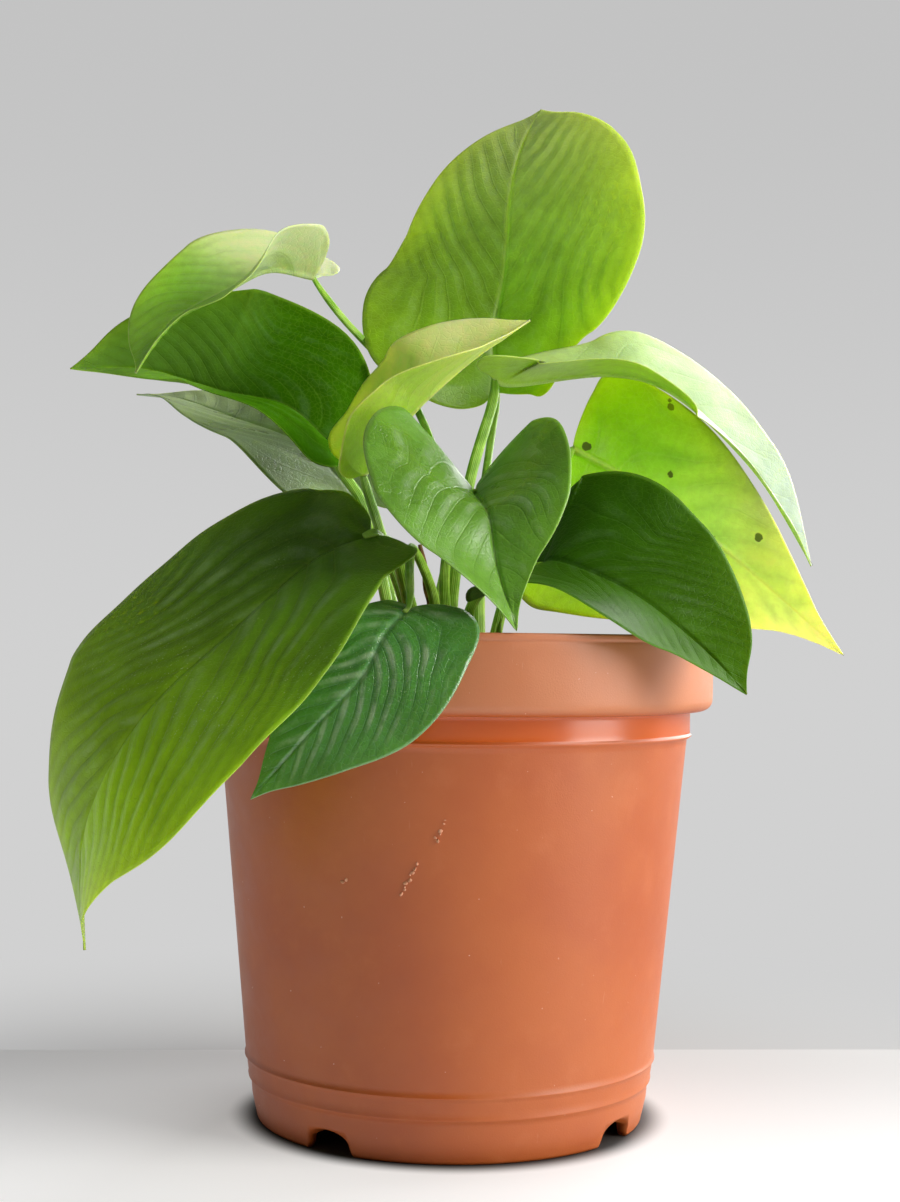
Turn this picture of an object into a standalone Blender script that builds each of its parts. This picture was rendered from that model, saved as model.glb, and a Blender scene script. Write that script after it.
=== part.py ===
"""A potted pothos: a turned nursery pot, the mix in it, three short vines, eleven stalks and eleven blades.

Lengths in the design tables are millimetres. X runs right, Y runs back and Z up, and the origin is on the
pot's axis at the ground.
"""

import math

import bmesh
import bpy
import numpy as np

MM = 0.001
WELD = 0.00005  # points closer than this are one
NAME = "potted_pothos"

# ---------------------------------------------------------------- pot
POT_HEIGHT = 116.5
RIM_RADIUS = 62.5
RIM_SKIRT = 18.0  # height of the rim's skirt
NECK_RADIUS = 57.0
NECK_BOTTOM = 92.4
BODY_TOP_RADIUS = 56.3
BODY_FOOT_RADIUS = 48.7
BODY_FOOT = 10.0  # height where the body's taper ends
FOOT_RADIUS = 46.0
WALL = 1.4
FLOOR_UNDER = 3.2
FLOOR_TOP = 4.8
POT_STEPS = 48
NOTCH_WIDTH = 11.5
NOTCH_HEIGHT = 5.6
NOTCH_ANGLES = (-125.0, -35.0, 55.0, 145.0)
NOTCH_INNER = 38.0  # the cutter's reach from the axis
NOTCH_OUTER = 56.0
NOTCH_START = -2.0
CLEARANCE = 0.3  # between touching pieces

# ---------------------------------------------------------------- mix and vines
MIX_TOP = 103.0
VINE_RADIUS = 2.2
VINES = {
    "vine_left": [(-12, 4, 62), (-11, 4, 85), (-10, 3, 100), (-10, 3, 112)],
    "vine_middle": [(-3, -8, 60), (-2, -8, 84), (-3, -8.5, 100), (-3, -8.5, 113)],
    "vine_right": [(5, 0, 64), (4, -1, 86), (3.5, -2, 100), (3.5, -2, 114)],
}

STEM_RINGS = 9
SPRIG_RINGS = 6

# Each stalk: its radius at the vine and at the blade, and its route from the vine to the blade.
STALKS = {
    1: (1.3, 1.0, [(5.6, 1.4, 107), (6, 5, 125), (6, 9, 145), (8, 20, 162), (10, 28.5, 176)]),
    2: (1.6, 1.35, [(1.3, 1.7, 106), (-1, 0, 120), (1, -2, 140), (3.5, -1, 155), (8, 3, 171), (9, 5, 176.3)]),
    3: (1.4, 1.1, [(7.6, -1.2, 106), (12, -2, 125), (20, 3, 145), (26, 10, 158), (28.5, 14.5, 162)]),
    4: (1.4, 1.2, [(4.9, -5.9, 107), (3, -11, 119), (6, -13, 126), (12, -16, 128.5), (17.3, -20, 130)]),
    5: (1.5, 1.2, [(0.8, -9.8, 106), (-2, -13, 119), (-2.5, -16, 132), (0, -19, 142), (3.5, -21.5, 147.3)]),
    6: (1.5, 1.2, [(-5.6, -5.6, 106), (-11, -7.5, 120), (-18, -11, 140), (-21, -12, 149), (-22, -12, 152.3)]),
    7: (1.6, 1.3, [(-13.6, 1, 106), (-16, 1, 120), (-22, 2, 145), (-28, 3, 155), (-29, 3.2, 157.6)]),
    8: (
        1.3,
        1.0,
        [(-9.3, 6.8, 106), (-4, 14, 125), (-2, 24, 148), (-12, 33, 177), (-30, 27, 197), (-36.3, 19.5, 204.5)],
    ),
    9: (1.5, 1.2, [(-12.5, 6, 108), (-16, 8, 125), (-21, 10.5, 142), (-23.2, 13, 147.8)]),
    10: (1.7, 1.5, [(-7, -9.6, 108), (-11, -17, 124), (-14, -27, 135), (-17, -38, 137)]),
    11: (1.3, 1.0, [(-3.4, -12.1, 106), (-5, -20, 124), (-9.5, -34, 135), (-10, -49, 131.5), (-9.7, -56, 124.8)]),
}

# Small pieces among the stalks: radius at each end and route.
SPRIGS = {
    "dried_sheath": (0.9, 0.5, [(-3.5, -10, 114.3), (-6, -12, 124), (-8.6, -14, 137)]),
    "young_shoot": (1.1, 0.7, [(7.5, -8, 105.6), (9.5, -14, 112), (10.6, -19, 120)]),
}

# ---------------------------------------------------------------- blades
BLADE_THICKNESS = 0.8
BLADE_ROWS = 17
BLADE_COLUMNS = 4
HEEL_END = 0.45  # share of the length over which a narrowed heel grows to full width
SWEEP = 1.25  # above 1, rows start nearer the stalk and curve towards the tip, as the side veins do
# Half outline of a pothos blade, from the notch at the stalk to the tip, as shares of its length and half width.
HALF_OUTLINE = [
    (-0.01, 0.04),
    (-0.09, 0.17),
    (-0.13, 0.40),
    (-0.09, 0.66),
    (0.04, 0.90),
    (0.22, 1.00),
    (0.44, 0.92),
    (0.64, 0.68),
    (0.81, 0.38),
    (0.92, 0.14),
    (1.0, 0.0),
]
# Pairs hold the left and the right half, seen from the stalk with the upper side up.
# midrib: route from the stalk to the tip.
# face: which way the upper side looks at the stalk, the middle and the tip.
# width: half width in millimetres.
# fold: how far the half rises from flat, in degrees, at the stalk, the middle and the tip.
# cup: how many degrees more it has risen at its edge.
# lobe: how far its lobe reaches back past the stalk, as a share of the usual lobe.
# peak: above 1, the widest place moves towards the tip; below 1, towards the stalk.
# full: above 1, the half narrows faster towards its ends; below 1, it stays fuller.
# heel: its width beside the stalk, as a share of the usual width.
BLADES = {
    1: dict(
        midrib=[(10, 31, 179), (9, 36, 194), (12, 40, 213), (13, 42, 232), (16, 49, 247), (22, 64, 262)],
        face=[(-0.1, -1.0, 0.2), (-0.3, -0.7, 0.3), (-0.1, -0.5, 0.9)],
        width=(35, 39.5),
        fold=((30, 0, 12), (-3, 3, 16)),
        cup=(0, 0),
        lobe=(0.5, 0.1),
        peak=(1.0, 1.7),
        full=(1.15, 0.97),
        heel=(1, 0.5),
    ),
    2: dict(
        midrib=[(9, 6, 179), (14.5, 9, 178.5), (39, 15.5, 182), (57, 25, 177.5), (78, 28, 158), (93, 33, 135)],
        face=[(0.1, -0.2, 0.9), (0.4, 0.0, 0.6), (1.1, -0.4, 0.2)],
        width=(20, 21),
        fold=((22, 36, 30), (30, 0, 20)),
        cup=(-5, -12),
        lobe=(0.1, 0.7),
        peak=(1.35, 1.35),
        full=(1.0, 1.0),
        heel=(0.6, 1),
    ),
    3: dict(
        midrib=[(29, 16, 163), (47, 21.5, 154), (68, 22, 139), (85, 17, 124), (97, 11, 112)],
        face=[(0.0, 1.0, 0.0), (0.3, 0.6, 0.5), (0.3, 0.7, 0.5)],
        width=(41, 25),
        fold=((5, 10, 20), (10, 10, 10)),
        cup=(0, 12),
        lobe=(1.0, 0.1),
        peak=(0.8, 0.65),
        full=(1.1, 1.05),
        heel=(1, 1),
    ),
    4: dict(
        midrib=[(19, -22, 132), (24, -28, 133), (39, -38, 126), (53, -44, 115), (63, -52, 104)],
        face=[(0.0, -0.7, 0.7), (0.3, -0.5, 0.7), (0.6, -0.8, 0.3)],
        width=(32, 28),
        fold=((15, 15, 15), (12, 12, 12)),
        cup=(5, 5),
        lobe=(1.0, 0.8),
        peak=(1.0, 1.0),
        full=(1.0, 1.0),
        heel=(1, 1),
    ),
    5: dict(
        midrib=[(4, -22, 149), (4.5, -33, 147), (7, -48, 142), (9, -55, 130), (13, -62, 117)],
        face=[(0, -0.2, 1), (0, -0.6, 0.8), (0.2, -0.8, 0.5)],
        width=(25, 30),
        fold=((50, 20, 30), (50, 20, 40)),
        cup=(0, 0),
        lobe=(0.8, 0.8),
        peak=(0.8, 1.05),
        full=(1.2, 1.0),
        heel=(1, 1),
    ),
    6: dict(
        midrib=[(-22, -12, 154), (-12, -13, 167), (-5, -13.5, 174), (5, -10, 183), (17, -9, 191)],
        face=[(-0.5, -0.1, 0.7), (-0.4, 0.0, 0.8), (0.2, -0.5, 0.9)],
        width=(18, 18),
        fold=((50, 50, 42), (28, 29, 26)),
        cup=(5, 0),
        lobe=(0.2, 0.5),
        peak=(1.1, 1.0),
        full=(0.95, 1.0),
        heel=(1, 1),
    ),
    7: dict(
        midrib=[(-30.5, 5.5, 162), (-42, 4.5, 171.5), (-58, 7, 175), (-78, 11, 181), (-97, 12, 181)],
        face=[(0.3, -0.3, 0.9), (0.3, -0.4, 0.8), (-0.2, -0.6, 0.5)],
        width=(27, 32),
        fold=((2, 30, 15), (16, 35, 17)),
        cup=(0, 7),
        lobe=(0.5, 0.7),
        peak=(0.7, 1.15),
        full=(1.1, 0.95),
        heel=(1, 1),
    ),
    8: dict(
        midrib=[(-37, 18, 206), (-48, 15, 207), (-58, 11, 201), (-71, 6, 192), (-78, -4, 178)],
        face=[(0, -0.1, 1), (-0.2, -0.6, 0.8), (-0.7, -0.4, 0.6)],
        width=(20, 20),
        fold=((37, 20, 20), (24, 19, 17)),
        cup=(6, 6),
        lobe=(0.2, 1.0),
        peak=(1.0, 1.05),
        full=(1.0, 1.0),
        heel=(1, 1),
    ),
    9: dict(
        midrib=[(-24, 14, 149), (-40, 35, 165), (-61, 53, 174), (-78, 71, 181), (-93, 85, 184)],
        face=[(0.3, -0.7, 0.6), (0.2, -0.4, 0.8), (0.2, -0.4, 0.8)],
        width=(26, 26),
        fold=((10, 14, 11), (10, 11, 7)),
        cup=(5, 0),
        lobe=(0.8, 0.6),
        peak=(1.0, 1.0),
        full=(1.0, 1.0),
        heel=(1, 1),
    ),
    10: dict(
        midrib=[
            (-18.5, -42, 138),
            (-30.5, -47, 132.5),
            (-48, -56, 116),
            (-66, -64, 97),
            (-78, -58, 74),
            (-80, -47, 46),
        ],
        face=[(-0.2, -0.5, 0.9), (-0.5, -0.6, 0.3), (-0.8, -0.4, 0.3)],
        width=(35, 35),
        fold=((0, 0, 15), (8, 3, 4)),
        cup=(0, -8),
        lobe=(0.2, 0.25),
        peak=(1.5, 1.2),
        full=(1.0, 0.95),
        heel=(0.7, 1),
    ),
    11: dict(
        midrib=[(-10, -58, 121.5), (-14.5, -69, 116), (-19, -74, 107), (-29, -76, 96), (-41, -75, 82)],
        face=[(0.1, -0.75, 0.65), (-0.1, -0.95, 0.2), (-0.4, -0.9, 0.2)],
        width=(19, 14),
        fold=((12, 2, 12), (-14, -14, -8)),
        cup=(0, 0),
        lobe=(0.6, 0.3),
        peak=(1.05, 1.2),
        full=(1.05, 1.1),
        heel=(1, 0.7),
    ),
}


# ---------------------------------------------------------------- curves and blade surface
def smooth_route(points, shares):
    """Points on the smooth curve through hand-set points, at shares 0 to 1 of its length."""
    points = np.asarray(points, float)
    padded = np.vstack([2 * points[0] - points[1], points, 2 * points[-1] - points[-2]])
    fine = []
    for i in range(1, len(padded) - 2):
        a, b, c, d = padded[i - 1 : i + 3]
        for t in np.linspace(0, 1, 24, endpoint=False):
            fine.append(
                0.5 * (2 * b + (c - a) * t + (2 * a - 5 * b + 4 * c - d) * t * t + (3 * b - a - 3 * c + d) * t**3)
            )
    fine.append(points[-1])
    fine = np.array(fine)
    reach = np.concatenate([[0], np.cumsum(np.linalg.norm(np.diff(fine, axis=0), axis=1))])
    wanted = np.asarray(shares, float) * reach[-1]
    return np.stack([np.interp(wanted, reach, fine[:, k]) for k in range(fine.shape[1])], axis=1)


def unit(vectors):
    """Vectors scaled to length 1."""
    return vectors / np.linalg.norm(vectors, axis=-1, keepdims=True)


class Midrib:
    """A blade's midrib as a curve with, at each distance along it, the forward, right and upper directions."""

    STATIONS = 200

    def __init__(self, design):
        shares = np.linspace(0, 1, self.STATIONS)
        self.points = smooth_route(design["midrib"], shares)
        self.length = np.linalg.norm(np.diff(self.points, axis=0), axis=1).sum()
        self.distance = shares * self.length
        self.forward = unit(np.gradient(self.points, axis=0))
        self.right = unit(np.cross(self.forward, unit(smooth_route(design["face"], shares))))
        self.upper = np.cross(self.right, self.forward)

    def at(self, along):
        """Point, forward, right and upper at a distance along the midrib, straight beyond its ends."""
        pick = [
            np.array([np.interp(along, self.distance, field[:, k]) for k in range(3)])
            for field in (self.points, self.forward, self.right, self.upper)
        ]
        over = min(along, 0.0) + max(along - self.length, 0.0)
        pick[0] = pick[0] + unit(pick[1]) * over
        return pick


def blade_point(midrib, design, along, out, side):
    """Where a point of the flat blade goes when the blade is folded and bent along its midrib."""
    origin, forward, right, upper = midrib.at(along)
    share = min(max(along / midrib.length, 0.0), 1.0)
    rise = math.radians(np.interp(share, (0.0, 0.5, 1.0), design["fold"][side]))
    cup = math.radians(design["cup"][side])
    # The half blade is an arc: its slope grows from rise at the midrib to rise + cup at its widest.
    slope = rise + cup * out / design["width"][side] / 2
    across = out * math.cos(slope)
    lift = out * math.sin(slope)
    hand = 1 if side else -1
    return origin + right * across * hand + upper * lift


def half_outline(design, side):
    """The blade's own half outline: its lobe, widest place, fullness and the narrowing of its heel."""
    lobe, peak, full, heel = (design[key][side] for key in ("lobe", "peak", "full", "heel"))
    outline = []
    for along, out in HALF_OUTLINE:
        along = along * lobe if along < 0 else along ** (1 / peak)
        grown = min(max(along, 0.0) / HEEL_END, 1.0)
        outline.append((along, out**full * (heel + (1 - heel) * grown)))
    return outline


def blade_surface(design, rows, columns):
    """Rows of points from the left edge over the midrib to the right edge, from the stalk to the tip."""
    midrib = Midrib(design)
    shares = np.linspace(0, 1, rows)
    edges = []
    for side in (0, 1):
        edges.append(smooth_route(half_outline(design, side), shares))
    surface = []
    for i, share in enumerate(shares):
        root = midrib.length * max(share - 0.04, share * 0.1) ** SWEEP if share < 1 else midrib.length
        row = []
        for side in (0, 1):
            edge_along, edge_out = edges[side][i]
            half = []
            for t in np.linspace(0, 1, columns + 1):
                along = root + (edge_along * midrib.length - root) * t**SWEEP
                half.append(blade_point(midrib, design, along, edge_out * design["width"][side] * t, side))
            row += half[:0:-1] if side == 0 else half
        surface.append(row)
    return surface


# ---------------------------------------------------------------- solids
def material(name, rgb, roughness):
    """A plain finish for one sub-part."""
    made = bpy.data.materials.new(name)
    made.use_nodes = True
    shader = made.node_tree.nodes["Principled BSDF"]
    shader.inputs["Base Color"].default_value = (*rgb, 1.0)
    shader.inputs["Roughness"].default_value = roughness
    shader.inputs["Metallic"].default_value = 0.0
    return made


def add_object(name, data, collection, finish=None):
    """Link a mesh or curve as an object, with its finish."""
    made = bpy.data.objects.new(name, data)
    collection.objects.link(made)
    if finish:
        data.materials.append(finish)
    return made


def hide(cutter):
    """Keep a cutter out of renders and show it as wire."""
    cutter.hide_render = True
    cutter.display_type = "WIRE"
    return cutter


def mesh_from(name, build):
    """A mesh made by a function that fills a bmesh, with its faces turned outwards."""
    work = bmesh.new()
    build(work)
    bmesh.ops.recalc_face_normals(work, faces=work.faces)
    mesh = bpy.data.meshes.new(name)
    work.to_mesh(mesh)
    work.free()
    return mesh


def turned(name, profile, collection, finish):
    """A body turned about Z from a profile of (radius, height) in millimetres."""
    mesh = bpy.data.meshes.new(name)
    points = [(r * MM, 0.0, z * MM) for r, z in profile]
    mesh.from_pydata(points, [(i, i + 1) for i in range(len(points) - 1)], [])
    body = add_object(name, mesh, collection, finish)
    screw = body.modifiers.new("turn", "SCREW")
    screw.axis = "Z"
    screw.angle = 2 * math.pi
    screw.steps = screw.render_steps = POT_STEPS
    screw.use_merge_vertices = True
    screw.merge_threshold = WELD
    screw.use_smooth_shade = True
    return body


def body_radius(height):
    """Outer radius of the pot's tapered body."""
    share = (height - BODY_FOOT) / (NECK_BOTTOM - BODY_FOOT)
    return BODY_FOOT_RADIUS + (BODY_TOP_RADIUS - BODY_FOOT_RADIUS) * share


def pot_profile():
    """The pot's section: inner floor, up the inner wall, over the rim and down the outside to the underside."""
    skirt = POT_HEIGHT - RIM_SKIRT
    shoulder = skirt + 1.2
    return [
        (0, FLOOR_TOP + 0.6),
        (body_radius(FLOOR_TOP) - WALL - 2.0, FLOOR_TOP),
        (body_radius(FLOOR_TOP + 2) - WALL - 0.4, FLOOR_TOP + 0.7),
        (body_radius(FLOOR_TOP + 4) - WALL, FLOOR_TOP + 3),
        (body_radius(NECK_BOTTOM) - WALL, NECK_BOTTOM),
        (NECK_RADIUS - WALL, shoulder),
        (RIM_RADIUS - WALL - 1.6, shoulder + 0.5),
        (RIM_RADIUS - WALL, shoulder + 2.2),
        (RIM_RADIUS - WALL + 0.1, POT_HEIGHT - 0.5),
        (RIM_RADIUS - WALL + 0.5, POT_HEIGHT),
        (RIM_RADIUS - 0.5, POT_HEIGHT),
        (RIM_RADIUS, POT_HEIGHT - 0.5),
        (RIM_RADIUS, POT_HEIGHT - 1.3),
        (RIM_RADIUS - 0.35, POT_HEIGHT - 1.6),
        (RIM_RADIUS - 0.25, POT_HEIGHT - 2.4),
        (RIM_RADIUS - 0.25, skirt + 3.2),
        (RIM_RADIUS - 0.9, skirt + 1.2),
        (RIM_RADIUS - 2.6, skirt),
        (NECK_RADIUS, skirt),
        (NECK_RADIUS, NECK_BOTTOM + 0.5),
        (NECK_RADIUS + 0.3, NECK_BOTTOM + 0.1),
        (body_radius(NECK_BOTTOM), NECK_BOTTOM - 0.6),
        (body_radius(15.6), 15.6),
        (body_radius(15.2) + 0.4, 15.2),
        (body_radius(14.6) - 0.1, 14.6),
        (body_radius(10.6) - 0.3, 10.6),
        (body_radius(10.2), 10.2),
        (body_radius(9.6) - 0.7, 9.6),
        (FOOT_RADIUS + 0.8, 2.4),
        (FOOT_RADIUS + 0.3, 0.7),
        (FOOT_RADIUS - 0.5, 0),
        (FOOT_RADIUS - 2.0, 0),
        (FOOT_RADIUS - 2.0, FLOOR_UNDER),
        (0, FLOOR_UNDER + 0.6),
    ]


def notch_cutter(name, angle, collection):
    """An arched cutter that opens one drain notch through the foot ring and the floor's edge."""

    def build(work):
        half, spring = NOTCH_WIDTH / 2 * MM, NOTCH_HEIGHT * 0.45 * MM
        rise = NOTCH_HEIGHT * MM - spring
        arch = [(half * math.cos(a), spring + rise * math.sin(a)) for a in np.linspace(0, math.pi, 9)]
        outline = [(half, NOTCH_START * MM)] + arch + [(-half, NOTCH_START * MM)]
        near = [work.verts.new((NOTCH_INNER * MM, y, z)) for y, z in outline]
        far = [work.verts.new((NOTCH_OUTER * MM, y, z)) for y, z in outline]
        work.faces.new(near)
        work.faces.new(far)
        for i in range(len(outline)):
            j = (i + 1) % len(outline)
            work.faces.new((near[i], near[j], far[j], far[i]))

    cutter = hide(add_object(name, mesh_from(name, build), collection))
    cutter.rotation_euler.z = math.radians(angle)
    return cutter


def cut(body, cutter):
    """Take a cutter's shape out of a body."""
    change = body.modifiers.new("cut_" + cutter.name, "BOOLEAN")
    change.operation = "DIFFERENCE"
    change.solver = "EXACT"
    change.object = cutter


def make_pot(parts, cutters):
    """The turned nursery pot with four drain notches in its foot."""
    finish = material("terracotta_plastic", (0.60, 0.17, 0.06), 0.4)
    pot = turned("pot", pot_profile(), parts, finish)
    for i, angle in enumerate(NOTCH_ANGLES):
        cut(pot, notch_cutter(f"notch_{i + 1}", angle, cutters))


def tube(name, radii, route, count, collection, finish=None):
    """A round stem along a smooth route, tapering from its first radius to its last."""
    curve = bpy.data.curves.new(name, "CURVE")
    curve.dimensions = "3D"
    curve.bevel_depth = radii[0] * MM
    curve.bevel_resolution = 2
    curve.use_fill_caps = True
    spline = curve.splines.new("POLY")
    shares = np.linspace(0, 1, count)
    spline.points.add(count - 1)
    for point, place, share in zip(spline.points, smooth_route(route, shares), shares):
        point.co = (*(place * MM), 1.0)
        point.radius = 1 + (radii[1] / radii[0] - 1) * share
    return add_object(name, curve, collection, finish)


def vine_hole(name, route, collection):
    """A cutter that follows one vine with clearance all round, so that the mix has room for it."""
    start_x, start_y, start_z = route[0]
    below = (start_x, start_y, start_z - CLEARANCE - 0.1)
    radius = VINE_RADIUS + CLEARANCE
    stem = tube("stem_" + name, (radius, radius), [below] + route[1:], STEM_RINGS, collection)
    solid = bpy.data.meshes.new_from_object(stem.evaluated_get(bpy.context.evaluated_depsgraph_get()))
    bpy.data.objects.remove(stem)

    def build(work):
        work.from_mesh(solid)
        bmesh.ops.remove_doubles(work, verts=work.verts, dist=WELD)

    return hide(add_object("hole_" + name, mesh_from("hole_" + name, build), collection))


def make_mix(parts, cutters):
    """The block of potting mix that fills the pot, with a hole for each vine."""
    finish = material("potting_mix", (0.05, 0.03, 0.02), 0.95)
    skirt = POT_HEIGHT - RIM_SKIRT
    profile = [
        (0, MIX_TOP + 0.8),
        (40, MIX_TOP),
        (RIM_RADIUS - WALL - 1.4, MIX_TOP - 0.6),
        (RIM_RADIUS - WALL - CLEARANCE - 0.4, MIX_TOP - 1.2),
        (RIM_RADIUS - WALL - 1.9, skirt + 2.2),
        (NECK_RADIUS - WALL - CLEARANCE - 0.2, skirt + 1.6),
        (body_radius(NECK_BOTTOM) - WALL - CLEARANCE - 0.1, NECK_BOTTOM),
        (body_radius(9) - WALL - CLEARANCE - 0.1, FLOOR_TOP + 3.4),
        (body_radius(6) - WALL - CLEARANCE - 2.4, FLOOR_TOP + 1.1),
        (0, FLOOR_TOP + 1.1),
    ]
    mix = turned("potting_mix", profile, parts, finish)
    for name, route in VINES.items():
        cut(mix, vine_hole(name, route, cutters))


def make_stems(parts):
    """The vines, the leaf stalks, the dried sheath and the young shoot."""
    green = material("green_stem", (0.16, 0.30, 0.06), 0.45)
    brown = material("dry_sheath", (0.25, 0.13, 0.06), 0.8)
    for name, route in VINES.items():
        tube(name, (VINE_RADIUS, VINE_RADIUS * 0.9), route, STEM_RINGS, parts, green)
    for number, (low, high, route) in STALKS.items():
        tube(f"stalk_{number:02d}", (low, high), route, STEM_RINGS, parts, green)
    for name, (low, high, route) in SPRIGS.items():
        tube(name, (low, high), route, SPRIG_RINGS, parts, brown if name == "dried_sheath" else green)


def make_blade(number, design, parts, finish):
    """One blade, thickened evenly to both sides of its surface."""

    def build(work):
        rows = [
            [work.verts.new([c * MM for c in point]) for point in row]
            for row in blade_surface(design, BLADE_ROWS, BLADE_COLUMNS)
        ]
        for low, high in zip(rows, rows[1:]):
            for i in range(len(low) - 1):
                work.faces.new((low[i], low[i + 1], high[i + 1], high[i]))
        bmesh.ops.remove_doubles(work, verts=work.verts, dist=WELD)

    blade = add_object(f"leaf_{number:02d}", mesh_from(f"leaf_{number:02d}", build), parts, finish)
    skin = blade.modifiers.new("thickness", "SOLIDIFY")
    skin.thickness = BLADE_THICKNESS * MM
    skin.offset = 0.0


def main():
    """Build every sub-part in its collection."""
    for old in list(bpy.data.objects):
        bpy.data.objects.remove(old)
    scene = bpy.context.scene.collection
    parts = bpy.data.collections.new(NAME)
    cutters = bpy.data.collections.new(NAME + "_cutters")
    scene.children.link(parts)
    scene.children.link(cutters)
    make_pot(parts, cutters)
    make_mix(parts, cutters)
    make_stems(parts)
    leaf_green = material("leaf_green", (0.10, 0.26, 0.04), 0.35)
    for number, design in BLADES.items():
        make_blade(number, design, parts, leaf_green)


main()
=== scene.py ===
"""A potted pothos as it looks: moulded nursery pot, damp mix, vines, channelled stalks and waxy blades.

Design tables are in millimetres. X runs right, Y back and Z up, with the origin on the pot's axis at the
ground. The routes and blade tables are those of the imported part.
"""

import math

import bmesh
import bpy
import numpy as np
from mathutils import Matrix, Vector


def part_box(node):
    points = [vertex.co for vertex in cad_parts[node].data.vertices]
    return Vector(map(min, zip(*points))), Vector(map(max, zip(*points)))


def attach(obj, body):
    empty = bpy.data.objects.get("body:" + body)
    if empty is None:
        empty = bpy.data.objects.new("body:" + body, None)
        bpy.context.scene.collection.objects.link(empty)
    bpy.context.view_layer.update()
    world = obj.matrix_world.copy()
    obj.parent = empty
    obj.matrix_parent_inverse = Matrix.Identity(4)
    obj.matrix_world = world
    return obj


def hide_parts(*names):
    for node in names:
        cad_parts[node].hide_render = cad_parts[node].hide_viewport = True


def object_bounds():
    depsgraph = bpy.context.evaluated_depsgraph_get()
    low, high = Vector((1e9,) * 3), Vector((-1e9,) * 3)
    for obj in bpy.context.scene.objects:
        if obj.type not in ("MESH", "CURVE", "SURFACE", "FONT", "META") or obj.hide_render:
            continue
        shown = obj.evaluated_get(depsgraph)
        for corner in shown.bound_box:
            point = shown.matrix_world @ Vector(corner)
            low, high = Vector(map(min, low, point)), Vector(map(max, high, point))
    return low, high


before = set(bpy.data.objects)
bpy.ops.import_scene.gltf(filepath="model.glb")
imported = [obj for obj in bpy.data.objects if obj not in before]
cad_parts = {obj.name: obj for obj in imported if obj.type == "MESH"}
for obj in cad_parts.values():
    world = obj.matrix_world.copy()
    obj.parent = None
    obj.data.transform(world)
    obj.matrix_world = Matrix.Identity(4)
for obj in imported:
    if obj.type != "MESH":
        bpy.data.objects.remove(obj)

CAD_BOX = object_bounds()
MM = 0.001

# ---------------------------------------------------------------- pot
POT_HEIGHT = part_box("pot")[1].z / MM
RIM_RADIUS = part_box("pot")[1].x / MM
RIM_SKIRT = 18.0
NECK_RADIUS = 57.0
NECK_BOTTOM = 92.4
BODY_TOP_RADIUS = 56.3
BODY_FOOT_RADIUS = 48.7
BODY_FOOT = 10.0
FOOT_RADIUS = 46.0
WALL = 1.4
FLOOR_UNDER = 3.2
FLOOR_TOP = 4.8
NOTCH_WIDTH = 11.5
NOTCH_HEIGHT = 5.6
NOTCH_ANGLES = (-125.0, -35.0, 55.0, 145.0)
POT_STEPS = 224

# ---------------------------------------------------------------- mix, vines and stalks
MIX_TOP = 103.0
GRAIN_TO_WALL = 3.5  # how far a loose grain's middle stays from the pot's wall
GRAIN_TO_VINE = 4.5  # how far a loose grain's edge stays from a vine's line
VINE_RADIUS = 2.2
VINES = {
    "vine_left": [(-12, 4, 62), (-11, 4, 85), (-10, 3, 100), (-10, 3, 112)],
    "vine_middle": [(-3, -8, 60), (-2, -8, 84), (-3, -8.5, 100), (-3, -8.5, 113)],
    "vine_right": [(5, 0, 64), (4, -1, 86), (3.5, -2, 100), (3.5, -2, 114)],
}
# Each stalk: its radius at the vine and at the blade, and its route from the vine to the blade.
STALKS = {
    1: (1.3, 1.0, [(5.6, 1.4, 107), (6, 5, 125), (6, 9, 145), (8, 20, 162), (10, 28.5, 176)]),
    2: (
        1.6,
        1.35,
        [(1.3, 1.7, 106), (-1, 0, 120), (1, -2, 140), (3.5, -1, 155), (8, 3, 171), (9, 5, 176.3)],
    ),
    3: (1.4, 1.1, [(7.6, -1.2, 106), (12, -2, 125), (20, 3, 145), (26, 10, 158), (28.5, 14.5, 162)]),
    4: (1.4, 1.2, [(4.9, -5.9, 107), (3, -11, 119), (6, -13, 126), (12, -16, 128.5), (17.3, -20, 130)]),
    5: (1.5, 1.2, [(0.8, -9.8, 106), (-2, -13, 119), (-2.5, -16, 132), (0, -19, 142), (3.5, -21.5, 147.3)]),
    6: (
        1.5,
        1.2,
        [(-5.6, -5.6, 106), (-11, -7.5, 120), (-18, -11, 140), (-21, -12, 149), (-22, -12, 152.3)],
    ),
    7: (1.6, 1.3, [(-13.6, 1, 106), (-16, 1, 120), (-22, 2, 145), (-28, 3, 155), (-29, 3.2, 157.6)]),
    8: (
        1.3,
        1.0,
        [
            (-9.3, 6.8, 106), (-4, 14, 125), (-2, 24, 148), (-12, 33, 177), (-30, 27, 197),
            (-36.3, 19.5, 204.5),
        ],
    ),
    9: (1.5, 1.2, [(-12.5, 6, 108), (-16, 8, 125), (-21, 10.5, 142), (-23.2, 13, 147.8)]),
    10: (1.7, 1.5, [(-7, -9.6, 108), (-11, -17, 124), (-14, -27, 135), (-17, -38, 137)]),
    11: (
        1.3,
        1.0,
        [(-3.4, -12.1, 106), (-5, -20, 124), (-9.5, -34, 135), (-10, -49, 131.5), (-9.7, -56, 124.8)],
    ),
}

# Small pieces among the stalks: radius at each end and route.
SPRIGS = {
    "dried_sheath": (0.9, 0.5, [(-3.5, -10, 114.3), (-6, -12, 124), (-8.6, -14, 137)]),
    "young_shoot": (1.1, 0.7, [(7.5, -8, 105.6), (9.5, -14, 112), (10.6, -19, 120)]),
}

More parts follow.
